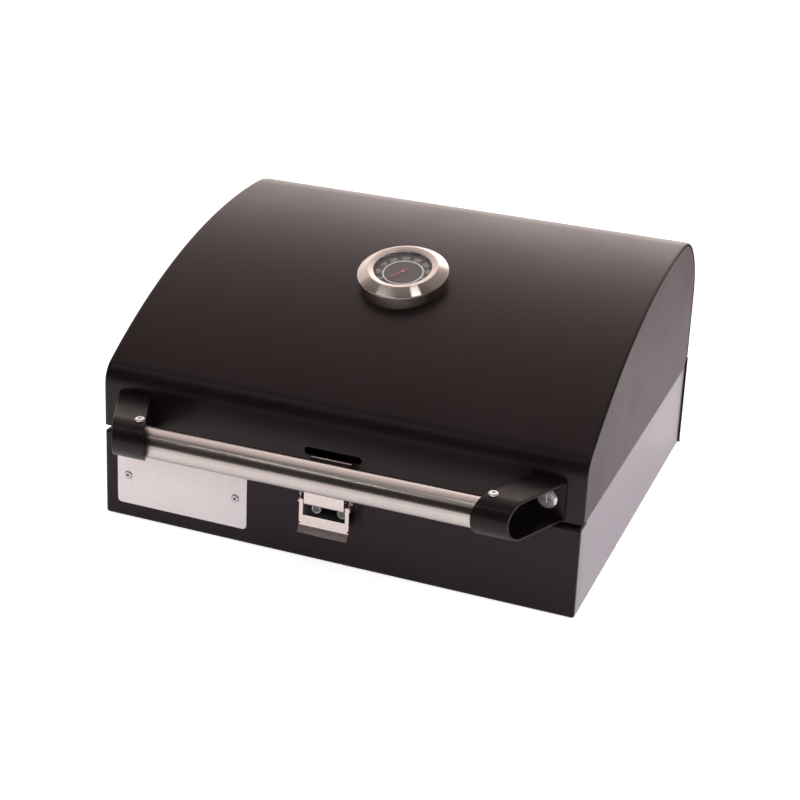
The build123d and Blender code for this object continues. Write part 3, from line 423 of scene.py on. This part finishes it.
def floor_glow(tree):
    """The floor's glow: it tops the floor up to white for the camera, and is tinted and graded in gloss."""
    glossy = tree.nodes.new("ShaderNodeLightPath").outputs["Is Glossy Ray"]
    mirrored = maths(tree, "MULTIPLY", glossy, floor_mirrored(tree))
    direct = maths(tree, "MULTIPLY", seen_directly(tree), FLOOR_SEEN)
    glow = tree.nodes.new("ShaderNodeEmission")
    feed(tree, mix_colours(tree, glossy, WHITE, FLOOR_TINT), glow.inputs["Color"])
    feed(tree, maths(tree, "ADD", mirrored, direct), glow.inputs["Strength"])
    return glow.outputs[0]


def floor_material():
    """A pale diffuse floor with its glow."""
    mat = bpy.data.materials.new("floor")
    mat.use_nodes = True
    tree = mat.node_tree
    tree.nodes.clear()
    diffuse = tree.nodes.new("ShaderNodeBsdfDiffuse")
    diffuse.inputs["Color"].default_value = FLOOR_COLOUR
    add = tree.nodes.new("ShaderNodeAddShader")
    out = tree.nodes.new("ShaderNodeOutputMaterial")
    feed(tree, diffuse.outputs[0], add.inputs[0])
    feed(tree, floor_glow(tree), add.inputs[1])
    feed(tree, add.outputs[0], out.inputs["Surface"])
    return mat


def make_floor():
    """A plain pale floor, white but for the object's soft shadow."""
    mesh = bpy.data.meshes.new("floor")
    corners = [(x * FLOOR_REACH, y * FLOOR_REACH, 0) for x, y in ((-1, -1), (1, -1), (1, 1), (-1, 1))]
    mesh.from_pydata(corners, [], [(0, 1, 2, 3)])
    mesh.materials.append(floor_material())
    floor = bpy.data.objects.new("floor", mesh)
    floor.location.z = -FLOOR_DROP
    bpy.context.scene.collection.objects.link(floor)


def area_lamp(name, place, aim, size, power, mirrored):
    """A rectangular soft lamp that looks at a point."""
    data = bpy.data.lights.new(name, "AREA")
    data.shape = "RECTANGLE"
    data.size, data.size_y = size
    data.energy = power
    lamp = bpy.data.objects.new(name, data)
    lamp.location = place
    lamp.rotation_mode = "QUATERNION"
    lamp.rotation_quaternion = (Vector(aim) - Vector(place)).to_track_quat("-Z", "Y")
    lamp.visible_glossy = mirrored
    bpy.context.scene.collection.objects.link(lamp)


def make_lights():
    """Softboxes at each side and by the camera, with a small lamp and a thin strip for highlights."""
    for lamp in LAMPS:
        area_lamp(*lamp)


# Materials

def new_material(name):
    """A material with its node tree and principled shader."""
    mat = bpy.data.materials.new(name)
    mat.use_nodes = True
    return mat, mat.node_tree, mat.node_tree.nodes["Principled BSDF"]


def colour_by(tree, shader, pattern, dark, pale, places=(0.35, 0.65)):
    """Colour a surface by a pattern, from dark to pale."""
    feed(tree, ramp(tree, pattern, list(zip(places, (dark, pale)))), shader.inputs["Base Color"])


def roughen_by(tree, shader, pattern, rough, vary):
    """Vary a surface's roughness about its middle by a pattern."""
    feed(tree, map_range(tree, pattern, *NOISE_SPAN, rough - vary, rough + vary), shader.inputs["Roughness"])


def coat(name, dark, pale, rough, ior=1.4, peel=0.00003, wave=0.0004, tint=(1, 1, 1)):
    """Satin powder coat: orange peel and a slow wave, both as heights in metres, and faint cloudiness."""
    mat, tree, shader = new_material(name)
    cloud = noise(tree, COAT_CLOUD, detail=3)
    colour_by(tree, shader, cloud, dark, pale, places=(0.35, 0.7))
    mottle = blend(tree, cloud, noise(tree, COAT_GRAIN, detail=2), COAT_SHARE)
    roughen_by(tree, shader, mottle, rough, COAT_VARY)
    slow = bump(tree, noise(tree, COAT_WAVE, detail=1), wave)
    fine = bump(tree, noise(tree, COAT_PEEL, detail=2), peel, under=slow)
    feed(tree, fine, shader.inputs["Normal"])
    shader.inputs["IOR"].default_value = ior
    shader.inputs["Specular Tint"].default_value = (*tint, 1)
    return mat


def add_lacquer(mat, weight, flanks_only=False):
    """Add a glossier top layer, on the whole surface or only on its faces to the right and left."""
    tree = mat.node_tree
    shader = tree.nodes["Principled BSDF"]
    shader.inputs["Coat Weight"].default_value = weight
    shader.inputs["Coat Roughness"].default_value = LACQUER_ROUGH
    shader.inputs["Coat IOR"].default_value = LACQUER_IOR
    if flanks_only:
        sideways = maths(tree, "ABSOLUTE", axes(tree, coordinates(tree, "Normal"))["X"], 0)
        feed(tree, map_range(tree, sideways, *LACQUER_TURN, 0.0, weight), shader.inputs["Coat Weight"])


def add_sheen(mat, weight, tint):
    """Add a faint tinted bloom at low angles."""
    shader = mat.node_tree.nodes["Principled BSDF"]
    shader.inputs["Sheen Weight"].default_value = weight
    shader.inputs["Sheen Roughness"].default_value = SHEEN_ROUGH
    shader.inputs["Sheen Tint"].default_value = (*tint, 1)


def round_z(tree):
    """Coordinates that are the same all round the object's Z: the radius and the height."""
    place = axes(tree, coordinates(tree))
    square = [maths(tree, "MULTIPLY", place[axis], place[axis]) for axis in ("X", "Y")]
    join = tree.nodes.new("ShaderNodeCombineXYZ")
    feed(tree, maths(tree, "POWER", maths(tree, "ADD", *square), 0.5), join.inputs[0])
    feed(tree, place["Z"], join.inputs[1])
    return join.outputs[0]


def add_flow(tree, shader, strength):
    """Stretch the highlights across a grain that runs round the object's Z."""
    shader.inputs["Anisotropic"].default_value = strength
    shader.inputs["Anisotropic Rotation"].default_value = GRAIN_TURN
    tangent = tree.nodes.new("ShaderNodeTangent")
    tangent.direction_type = "RADIAL"
    tangent.axis = "Z"
    feed(tree, tangent.outputs[0], shader.inputs["Tangent"])


def steel(name, dark, pale, rough, stretch, scratch=0.0, turned=False, flow=0.0, vary=0.05, metal=1.0):
    """Brushed or turned steel, with its grain along the directions that stretch leaves small."""
    mat, tree, shader = new_material(name)
    grain = noise(tree, 1.0, detail=4, stretch=stretch, vector=round_z(tree) if turned else None)
    tone = blend(tree, grain, noise(tree, STEEL_CLOUD, detail=2), STEEL_SHARE)
    colour_by(tree, shader, tone, dark, pale)
    roughen_by(tree, shader, tone, rough, vary)
    if scratch:
        feed(tree, bump(tree, grain, scratch), shader.inputs["Normal"])
    shader.inputs["Metallic"].default_value = metal
    if flow:
        add_flow(tree, shader, flow)
    return mat


def latch_metal(name):
    """The latch's fine brushed steel."""
    return steel(name, dark=(0.62, 0.535, 0.51), pale=(0.69, 0.605, 0.575), rough=0.25,
                 stretch=(120, 900, 120), vary=0.02)


def paint_hook_shade(mat):
    """Paint shade on the latch hook between two heights, where it sits behind the tube, and leave the bare
    steel above them.
    """
    tree = mat.node_tree
    shader = tree.nodes["Principled BSDF"]
    bare = shader.inputs["Base Color"].links[0].from_socket
    z = axes(tree, coordinates(tree))["Z"]
    low, high = HOOK_SHADE_Z
    over = map_range(tree, z, (low - HOOK_LOW_FADE) * MM, (low + HOOK_LOW_FADE) * MM)
    under = map_range(tree, z, high * MM, (high + HOOK_HIGH_FADE) * MM, 1.0, 0.0)
    dark = mix_colours(tree, maths(tree, "MULTIPLY", over, under), bare, HOOK_SHADE_COLOUR)
    feed(tree, dark, shader.inputs["Base Color"])


def cast_iron():
    """Seasoned cast iron: rough and near black."""
    mat, tree, shader = new_material("cast_iron")
    pits = noise(tree, IRON_PITS, detail=5)
    colour_by(tree, shader, noise(tree, IRON_CLOUD, detail=3), dark=(0.018, 0.017, 0.016),
              pale=(0.04, 0.036, 0.033), places=(0.3, 0.7))
    roughen_by(tree, shader, pits, rough=0.575, vary=0.125)
    feed(tree, bump(tree, pits, distance=0.0002), shader.inputs["Normal"])
    return mat


def printed(name, dark, pale, rough):
    """A printed or painted surface with a faint mottle."""
    mat, tree, shader = new_material(name)
    colour_by(tree, shader, noise(tree, PRINT_MOTTLE, detail=4), dark, pale)
    roughen_by(tree, shader, noise(tree, PRINT_GRAIN, detail=2), rough, PRINT_ROUGH_VARY)
    feed(tree, bump(tree, noise(tree, PRINT_TOOTH, detail=2), PRINT_RELIEF), shader.inputs["Normal"])
    shader.inputs["IOR"].default_value = PRINT_IOR
    return mat


def clear_glass():
    """Clear window glass with a trace of dust."""
    mat, tree, shader = new_material("clear_glass")
    dust = map_range(tree, noise(tree, GLASS_DUST, detail=5), low=0.45, high=0.8, to_low=0.0, to_high=0.12)
    feed(tree, dust, shader.inputs["Roughness"])
    shader.inputs["Base Color"].default_value = (0.98, 0.945, 0.935, 1)
    shader.inputs["IOR"].default_value = 1.3
    shader.inputs["Transmission Weight"].default_value = 1.0
    return mat


# Mesh helpers

def swing(x, y, angle):
    """A point turned about the origin."""
    c = math.cos(angle)
    s = math.sin(angle)
    return x * c - y * s, x * s + y * c


def rounded(corners, steps):
    """A closed outline from (point, radius) corners, each one rounded by its radius."""
    out = []
    points = [Vector(point) for point, radius in corners]
    for i, (here, (point, radius)) in enumerate(zip(points, corners)):
        if radius <= 0:
            out.append(point)
            continue
        before = points[i - 1] - here
        after = points[(i + 1) % len(points)] - here
        half = before.angle(after) / 2
        reach = min(radius / math.tan(half), before.length * ROUND_SHARE, after.length * ROUND_SHARE)
        to_centre = (before.normalized() + after.normalized()).normalized()
        centre = here + to_centre * (reach * math.tan(half) / math.sin(half))
        start = here + before.normalized() * reach - centre
        end = here + after.normalized() * reach - centre
        sweep = -start.angle_signed(end)
        for k in range(steps + 1):
            x, y = swing(start.x, start.y, sweep * k / steps)
            out.append((centre.x + x, centre.y + y))
    return out


def arc(centre, radius, start, end, steps):
    """Points and outward directions along an arc, from one angle to another in degrees."""
    out = []
    for k in range(steps + 1):
        angle = math.radians(start + (end - start) * k / steps)
        c = math.cos(angle)
        s = math.sin(angle)
        out.append(((centre[0] + radius * c, centre[1] + radius * s), (c, s)))
    return out


def add_sweep(verts, faces, rings, skip=()):
    """Add a solid that joins rings of points, less the side faces (ring, point) in skip."""
    base = len(verts)
    count = len(rings[0])
    for ring in rings:
        verts += ring
    for i in range(len(rings) - 1):
        for k in range(count):
            if (i, k) in skip:
                continue
            here = base + i * count
            m = (k + 1) % count
            faces.append((here + k, here + m, here + count + m, here + count + k))
    faces.append(tuple(reversed(range(base, base + count))))
    faces.append(tuple(range(len(verts) - count, len(verts))))


def lathe(profile, segments):
    """Vertices and faces of a closed (radius, height) outline turned about Z."""
    verts = []
    faces = []
    count = len(profile)
    for i in range(segments):
        angle = math.tau * i / segments
        verts += [(r * math.cos(angle), r * math.sin(angle), h) for r, h in profile]
    for i in range(segments):
        j = (i + 1) % segments
        for k in range(count):
            m = (k + 1) % count
            faces.append((i * count + k, j * count + k, j * count + m, i * count + m))
    return verts, faces


def make_piece(name, verts, faces, body, mat, place=Matrix.Identity(4)):
    """A mesh piece in millimetres, smooth but for its crisp edges, riding on a body."""
    mesh = bpy.data.meshes.new(name)
    mesh.from_pydata([tuple(c * MM for c in v) for v in verts], [], faces)
    mesh.validate()
    mesh.update()
    mesh.shade_smooth()
    mesh.set_sharp_from_angle(angle=math.radians(CRISP_DEG))
    mesh.materials.append(mat)
    piece = bpy.data.objects.new(name, mesh)
    piece.matrix_world = place
    bpy.context.scene.collection.objects.link(piece)
    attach(piece, body)
    return piece


# Lid sheet and its seams

def front_spot(up):
    """The spot a little above the front lip's lower edge: its place and outward direction."""
    return (LID_FRONT_Y, FRONT_LIP_Z + up), (-1, 0)


def back_spot(up):
    """The spot a little above the back's lower edge: its place and outward direction."""
    return (LID_BACK_Y, BACK_EDGE_Z + up), (1, 0)


def lid_path():
    """Spots along the outside of the lid, from its front bend over the arch to its rear corner."""
    bend_y = LID_FRONT_Y + LIP_R
    bend_z = ARCH_Z + math.sqrt((ARCH_R - LIP_R) ** 2 - (bend_y - ARCH_Y) ** 2)
    slope = math.degrees(math.atan2(bend_z - ARCH_Z, bend_y - ARCH_Y))
    path = arc((bend_y, bend_z), LIP_R, 180, slope, LIP_STEPS)
    path += arc((ARCH_Y, ARCH_Z), ARCH_R, slope, 90, ARCH_STEPS)[1:]
    return path + arc((ARCH_Y, ARCH_Z + ARCH_R - REAR_R), REAR_R, 90, 0, REAR_STEPS)[1:]


def set_in(section, spot):
    """A section's (x, depth) points, set into the lid at a spot."""
    (y, z), (out_y, out_z) = spot
    return [(x, y - out_y * depth, z - out_z * depth) for x, depth in section]


def sheet_section(inset):
    """The sheet's (x, depth) section, its outer edges eased, drawn in by an inset."""
    wide = LID_HALF_W - inset
    outer = []
    for k in range(EDGE_STEPS + 1):
        t = math.radians(90 * k / EDGE_STEPS)
        outer.append((wide - EDGE_W * (1 - math.cos(t)), inset + (EDGE_R - inset) * (1 - math.sin(t))))
    rim = max(RIM_R - inset, RIM_LEAST)
    inner = [(wide, SHEET - inset - rim), (wide - rim, SHEET - inset)]
    right = list(reversed(outer)) + inner
    return [(-x, depth) for x, depth in outer] + right + [(-x, depth) for x, depth in reversed(inner)]


def rim_steps():
    """How the sheet's lower edges are eased, as (rise, inset) steps from the edge up."""
    angles = [math.radians(90 * k / RIM_STEPS) for k in range(RIM_STEPS, -1, -1)]
    return [(RIM_R * (1 - math.sin(a)), RIM_R * (1 - math.cos(a))) for a in angles]


def slot_outline():
    """The latch slot's (x, z) outline, from its lower right."""
    half = SLOT_HALF_W - SLOT_H / 2
    ends = arc((half, SLOT_Z), SLOT_H / 2, -90, 90, SLOT_STEPS)
    ends += arc((-half, SLOT_Z), SLOT_H / 2, 90, 270, SLOT_STEPS)
    return [point for point, out in ends]


def pierced(corners, hole, size):
    """The two faces that fill four corners round a hole, whose points are numbered from hole on."""
    low_left, low_right, high_right, high_left = corners
    rightmost = SLOT_STEPS // 2
    leftmost = rightmost + size // 2
    over = [hole + k for k in range(leftmost, rightmost - 1, -1)]
    below = [hole + k % size for k in range(size + rightmost, leftmost - 1, -1)]
    return (low_left, *over, low_right, high_right, high_left), (low_left, low_right, *below)


def add_slot(verts, faces, outside, inside):
    """Add the slot between the four corners left open outside and the four left open inside."""
    outline = slot_outline()
    size = len(outline)
    front = len(verts)
    back = front + size
    for depth in (0, SHEET):
        verts += [(x, LID_FRONT_Y + depth, z) for x, z in outline]
    faces += pierced(outside, front, size)
    faces += [tuple(reversed(face)) for face in pierced(inside, back, size)]
    for k in range(size):
        m = (k + 1) % size
        faces.append((front + k, front + m, back + m, back + k))


def add_return(verts, faces):
    """Add the lip's narrow return, inside the front."""
    reach = LID_HALF_W - RETURN_SIDE
    section = [(SHEET, 0), (LIP_RETURN, 0), (LIP_RETURN, SHEET), (SHEET, SHEET)]
    rings = [[(x, LID_FRONT_Y + y, FRONT_LIP_Z + z) for y, z in section] for x in (-reach, reach)]
    add_sweep(verts, faces, rings)


def make_lid_sheet(mat):
    """The lid's sheet: front lip with the latch slot, bend, long arch, rear corner and back."""
    rim = rim_steps()
    stations = [(front_spot(up), inset) for up, inset in rim]
    stations += [(spot, 0) for spot in lid_path()]
    stations += [(back_spot(up), inset) for up, inset in reversed(rim)]
    rings = [set_in(sheet_section(inset), spot) for spot, inset in stations]
    # Where the wide outer and inner faces start in a ring, and the ring below the slot
    out_left = EDGE_STEPS
    in_right = 2 * EDGE_STEPS + 3
    lip = len(rim) - 1
    verts = []
    faces = []
    add_sweep(verts, faces, rings, skip=((lip, out_left), (lip, in_right)))
    low = lip * len(rings[0])
    high = low + len(rings[0])
    outside = (low + out_left, low + out_left + 1, high + out_left + 1, high + out_left)
    inside = (low + in_right + 1, low + in_right, high + in_right, high + in_right + 1)
    add_slot(verts, faces, outside, inside)
    add_return(verts, faces)
    piece = make_piece("lid_sheet", verts, faces, "lid", mat)
    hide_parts("lid_skin")


def make_seam_shade(mat):
    """A thin near-black strip along the edge of each end plate, where it meets the lid's sheet: painted
    shade of the gap there.
    """
    sunk = END_X - SEAM_SUNK
    proud = END_X + SEAM_PROUD
    far = SHEET + SEAM_W
    right = [(sunk, SHEET), (proud, SHEET), (proud, far - SEAM_SLANT), (sunk, far)]
    left = [(-x, depth) for x, depth in reversed(right)]
    path = [front_spot(SEAM_LIFT)] + lid_path() + [back_spot(SEAM_LIFT)]
    verts = []
    faces = []
    for section in (left, right):
        add_sweep(verts, faces, [set_in(section, spot) for spot in path])
    make_piece("lid_seam_shade", verts, faces, "lid", mat)


# Thermometer

def thermo_place():
    """The thermometer's own frame on the lid: X to the right, Y up the slope, Z out of it."""
    s = math.sin(THERMO_ANGLE)
    c = math.cos(THERMO_ANGLE)
    turn = Matrix(((1, 0, 0), (0, c, -s), (0, s, c))).to_4x4()
    origin = Vector((0, ARCH_Y - ARCH_R * s, ARCH_Z + ARCH_R * c)) * MM
    return Matrix.Translation(origin) @ turn


def make_bezel(mat):
    """The turned bezel, its foot cut to the curve of the lid."""
    bore_r = BEZEL_R - BEZEL_T
    outline = rounded([
        ((BEZEL_R, BEZEL_FOOT_H), 0),
        ((BEZEL_R, BEZEL_WALL_H), BEZEL_WALL_ROUND),
        ((BEZEL_TOP_R, BEZEL_TOP_H), BEZEL_TOP_ROUND),
        ((BEVEL_R, BEVEL_H), BEVEL_ROUND),
        ((BEVEL_R, GLASS_TOP_H), 0),
        ((BEZEL_TOP_R, GLASS_TOP_H), 0),
        ((bore_r, BEZEL_WALL_H - BEZEL_T), 0),
        ((bore_r, BEZEL_FOOT_H), 0),
    ], steps=5)
    verts, faces = lathe(outline, BEZEL_STEPS)
    for i, (x, y, h) in enumerate(verts):
        if h <= BEZEL_FOOT_H:
            verts[i] = (x, y, math.sqrt(ARCH_R**2 - y**2) - ARCH_R)
    piece = make_piece("bezel", verts, faces, "lid", mat, thermo_place())
    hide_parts("thermometer_bezel")


def flat_ring(inner, outer, rise):
    """A thin flat ring on the dial."""
    top = DIAL_H + rise
    return lathe([(outer, DIAL_H), (outer, top), (inner, top), (inner, DIAL_H)], LATHE_STEPS)


def scale_angle(share):
    """The angle on the dial at a share of its scale."""
    return math.radians(FIRST_DEG - (FIRST_DEG - LAST_DEG) * share)


def make_disc(mat):
    """The greyer disc inside the dial's ring."""
    verts, faces = flat_ring(DISC_HOLE_R, RING_R - DISC_GAP, DISC_RISE)
    make_piece("dial_disc", verts, faces, "lid", mat, thermo_place())


def add_tick(verts, faces, angle, length, width):
    """Add a tick that points away from the dial's centre."""
    start = RING_R + TICK_GAP
    end = start + length
    corners = ((start, -width / 2), (end, -width / 2), (end, width / 2), (start, width / 2))
    outline = [swing(x, y, angle) for x, y in corners]
    add_sweep(verts, faces, [[(x, y, h) for x, y in outline] for h in (DIAL_H, DIAL_H + MARK_RISE)])


def make_ring(mat):
    """The dial's pale ring and its ticks."""
    verts, faces = flat_ring(RING_R - RING_W / 2, RING_R + RING_W / 2, RING_RISE)
    for k in range(TICKS + 1):
        tick = SHORT_TICK if k % TICKS_PER_NUMBER else LONG_TICK
        add_tick(verts, faces, scale_angle(k / TICKS), *tick)
    make_piece("dial_ring", verts, faces, "lid", mat, thermo_place())


def number_shape(words):
    """A plain number at a type size of 1, as flat points and the faces between them."""
    curve = bpy.data.curves.new("number", "FONT")
    curve.body = words
    curve.size = 1.0
    curve.align_x = "CENTER"
    curve.align_y = "CENTER"
    curve.resolution_u = 3
    holder = bpy.data.objects.new("number", curve)
    bpy.context.scene.collection.objects.link(holder)
    mesh = bpy.data.meshes.new_from_object(holder.evaluated_get(bpy.context.evaluated_depsgraph_get()))
    points = [(v.co.x, v.co.y) for v in mesh.vertices]
    loops = [tuple(p.vertices) for p in mesh.polygons]
    bpy.data.objects.remove(holder)
    bpy.data.meshes.remove(mesh)
    bpy.data.curves.remove(curve)
    return points, loops


def add_number(verts, faces, words, angle):
    """Add a thin plain number, upright along the dial's radius."""
    points, loops = number_shape(words)
    wide, high = NUMBER_SIZE
    base = len(verts)
    count = len(points)
    for h in (DIAL_H + MARK_RISE, DIAL_H):
        for x, y in points:
            verts.append((*swing(x * wide, NUMBER_R + y * high, angle - math.pi / 2), h))
    edges = set()
    for loop in loops:
        top = tuple(base + k for k in loop)
        faces.append(top)
        faces.append(tuple(k + count for k in reversed(top)))
        edges.update(zip(top, top[1:] + top[:1]))
    for a, b in sorted(edges):
        if (b, a) not in edges:
            faces.append((b, a, a + count, b + count))


def make_numbers(mat):
    """The dial's plain numbers."""
    verts = []
    faces = []
    for k in range(NUMBERS):
        add_number(verts, faces, str(NUMBER_FIRST + k * NUMBER_STEP), scale_angle(k / (NUMBERS - 1)))
    make_piece("dial_numbers", verts, faces, "lid", mat, thermo_place())


# Handle tube

def make_tube(mat):
    """The handle tube with its cut ends softened."""
    bore_r = TUBE_R - TUBE_WALL
    corners = ((TUBE_R, -TUBE_HALF), (TUBE_R, TUBE_HALF), (bore_r, TUBE_HALF), (bore_r, -TUBE_HALF))
    verts, faces = lathe(rounded([(corner, TUBE_ROUND) for corner in corners], steps=2), LATHE_STEPS)
    place = Matrix.Translation(Vector((0, TUBE_Y, TUBE_Z)) * MM) @ Matrix.Rotation(math.pi / 2, 4, "Y")
    piece = make_piece("tube", verts, faces, "lid", mat, place)
    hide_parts("handle_tube")


# Finishes of the CAD nodes

def paint(mat, *nodes):
    """Give CAD nodes a material."""
    for node in nodes:
        for place in NODES[node].material_slots:
            place.material = mat


def soften(width, *nodes):
    """A small round on the sharp edges of CAD nodes, of a width in millimetres."""
    for node in nodes:
        weld = NODES[node].modifiers.new("weld", "WELD")
        weld.merge_threshold = WELD_GAP
        bevel = NODES[node].modifiers.new("edge", "BEVEL")
        bevel.width = width * MM
        bevel.segments = ROUND_SEGMENTS
        bevel.limit_method = "ANGLE"
        bevel.angle_limit = math.radians(ROUND_DEG)
        flat = NODES[node].modifiers.new("flat", "WEIGHTED_NORMAL")
        flat.weight = FLAT_WEIGHT
        flat.keep_sharp = True


make_camera()
make_world()
make_floor()
make_lights()

# Powder coats
lid_coat = coat("lid_coat", dark=(0.0045, 0.002, 0.0023), pale=(0.0065, 0.0034, 0.0038), rough=0.35,
                ior=1.375, tint=(1, 0.84, 0.84))
add_sheen(lid_coat, 0.05, tint=(1, 0.62, 0.55))
end_coat = coat("end_coat", dark=(0.0075, 0.0045, 0.005), pale=(0.0105, 0.0065, 0.007), rough=0.38,
                ior=1.3, tint=(1, 0.8, 0.82))
add_sheen(end_coat, 0.07, tint=(1, 0.4, 0.55))
body_coat = coat("body_coat", dark=(0.0075, 0.0045, 0.006), pale=(0.0105, 0.0068, 0.008), rough=0.36,
                 ior=1.35, tint=(1, 0.82, 0.92))
add_lacquer(body_coat, 1.0, flanks_only=True)
# The body's sides wear a paler, lilac copy of the body coat: painted light for the glare they catch at a low
# angle
side_coat_lit = coat("side_coat_lit", dark=(0.018, 0.010, 0.018), pale=(0.024, 0.015, 0.024), rough=0.32,
                 ior=1.5, tint=(1, 0.9, 1))
add_lacquer(side_coat_lit, 0.85)
add_sheen(side_coat_lit, 0.14, tint=(1, 0.5, 1))
cast_coat = coat("cast_coat", dark=(0.0048, 0.003, 0.0033), pale=(0.0075, 0.005, 0.0055), rough=0.3,
                 ior=1.34, peel=0.00004, wave=0.0, tint=(1, 0.85, 0.86))
pan_coat = coat("pan_coat", dark=(0.10, 0.10, 0.10), pale=(0.16, 0.155, 0.15), rough=0.45, wave=0.0)
# Near black with little shine: painted shade for the gaps at the lid's seams
seam_shade_black = coat("seam_shade_black", dark=(0.001, 0.0008, 0.0009), pale=(0.002, 0.0016, 0.0017), rough=0.5,
                  ior=1.12, wave=0.0)
# Near black, as painted shade: the latch base sits in deep shade behind the lever
latch_base_shade = coat("latch_base_shade", dark=(0.0015, 0.001, 0.001), pale=(0.003, 0.0022, 0.0022), rough=0.3,
                   ior=1.28, wave=0.0)

# Metals
tube_steel = steel("tube_steel", dark=(0.50, 0.45, 0.425), pale=(0.56, 0.51, 0.485), rough=0.29,
                   stretch=(60, 60, 1500), flow=0.8, vary=0.006)
bezel_steel = steel("bezel_steel", dark=(0.62, 0.55, 0.505), pale=(0.68, 0.61, 0.565), rough=0.18,
                    stretch=(900, 900, 900), turned=True, flow=1.0, vary=0.004)
latch_steel = latch_metal("latch_steel")
hook_steel_shaded = latch_metal("hook_steel_shaded")
# Painted shade darkens the hook's steel behind the tube
paint_hook_shade(hook_steel_shaded)
zinc = steel("zinc", dark=(0.42, 0.42, 0.43), pale=(0.56, 0.56, 0.57), rough=0.3,
             stretch=(700, 700, 700), scratch=0.00001)
bright = steel("bright", dark=(0.66, 0.64, 0.63), pale=(0.76, 0.74, 0.73), rough=0.2,
               stretch=(700, 700, 700), scratch=0.000002, metal=0.75)

# Prints and paints
label_white = printed("label_white", dark=(0.83, 0.745, 0.755), pale=(0.86, 0.775, 0.785), rough=0.4)
dial_dark = printed("dial_dark", dark=(0.014, 0.010, 0.012), pale=(0.019, 0.014, 0.016), rough=0.5)
dial_olive = printed("dial_olive", dark=(0.044, 0.033, 0.027), pale=(0.058, 0.043, 0.036), rough=0.5)
dial_pale = printed("dial_pale", dark=(0.74, 0.72, 0.70), pale=(0.84, 0.82, 0.80), rough=0.5)
dial_grey = printed("dial_grey", dark=(0.46, 0.40, 0.37), pale=(0.54, 0.47, 0.44), rough=0.5)
needle_red = printed("needle_red", dark=(0.21, 0.045, 0.04), pale=(0.27, 0.06, 0.055), rough=0.45)

# Lid and body
paint(lid_coat, "lid_skin", "hinge_lid_leaves", "hinge_lid_rivets")
paint(end_coat, "lid_end_right", "lid_end_left")
paint(body_coat, "body_front_panel", "body_back_panel", "hinge_body_leaves", "hinge_body_rivets")
paint(side_coat_lit, "body_side_right", "body_side_left")
paint(cast_coat, "handle_bracket_right", "handle_bracket_left")
paint(pan_coat, "bottom_pan", "grate_ledge_front", "grate_ledge_rear", "heat_diffuser", "diffuser_stands")
paint(cast_iron(), "grate_right", "grate_left")
paint(label_white, "label_plate")
paint(zinc, "label_rivets", "bracket_nuts", "hinge_pins")
paint(bright, "latch_screws", "handle_top_screws", "bracket_screws")
soften(0.4, "lid_end_right", "lid_end_left")
soften(0.25, "label_plate")

# Latch
# The latch base's black is painted shade
paint(latch_base_shade, "latch_base")
paint(hook_steel_shaded, "latch_hook")
paint(latch_steel, "latch_lever", "latch_pivot_pin", "latch_hook_pin")
soften(0.25, "latch_lever", "latch_hook", "latch_base")

# Thermometer
paint(zinc, "thermometer_case", "thermometer_stem", "thermometer_washer", "thermometer_nut")
paint(dial_dark, "thermometer_dial")
paint(clear_glass(), "thermometer_glass")
paint(needle_red, "thermometer_needle")

make_lid_sheet(lid_coat)
make_seam_shade(seam_shade_black)
make_bezel(bezel_steel)
make_tube(tube_steel)
make_disc(dial_olive)
make_ring(dial_pale)
make_numbers(dial_grey)

bpy.context.scene.view_settings.view_transform = "Standard"
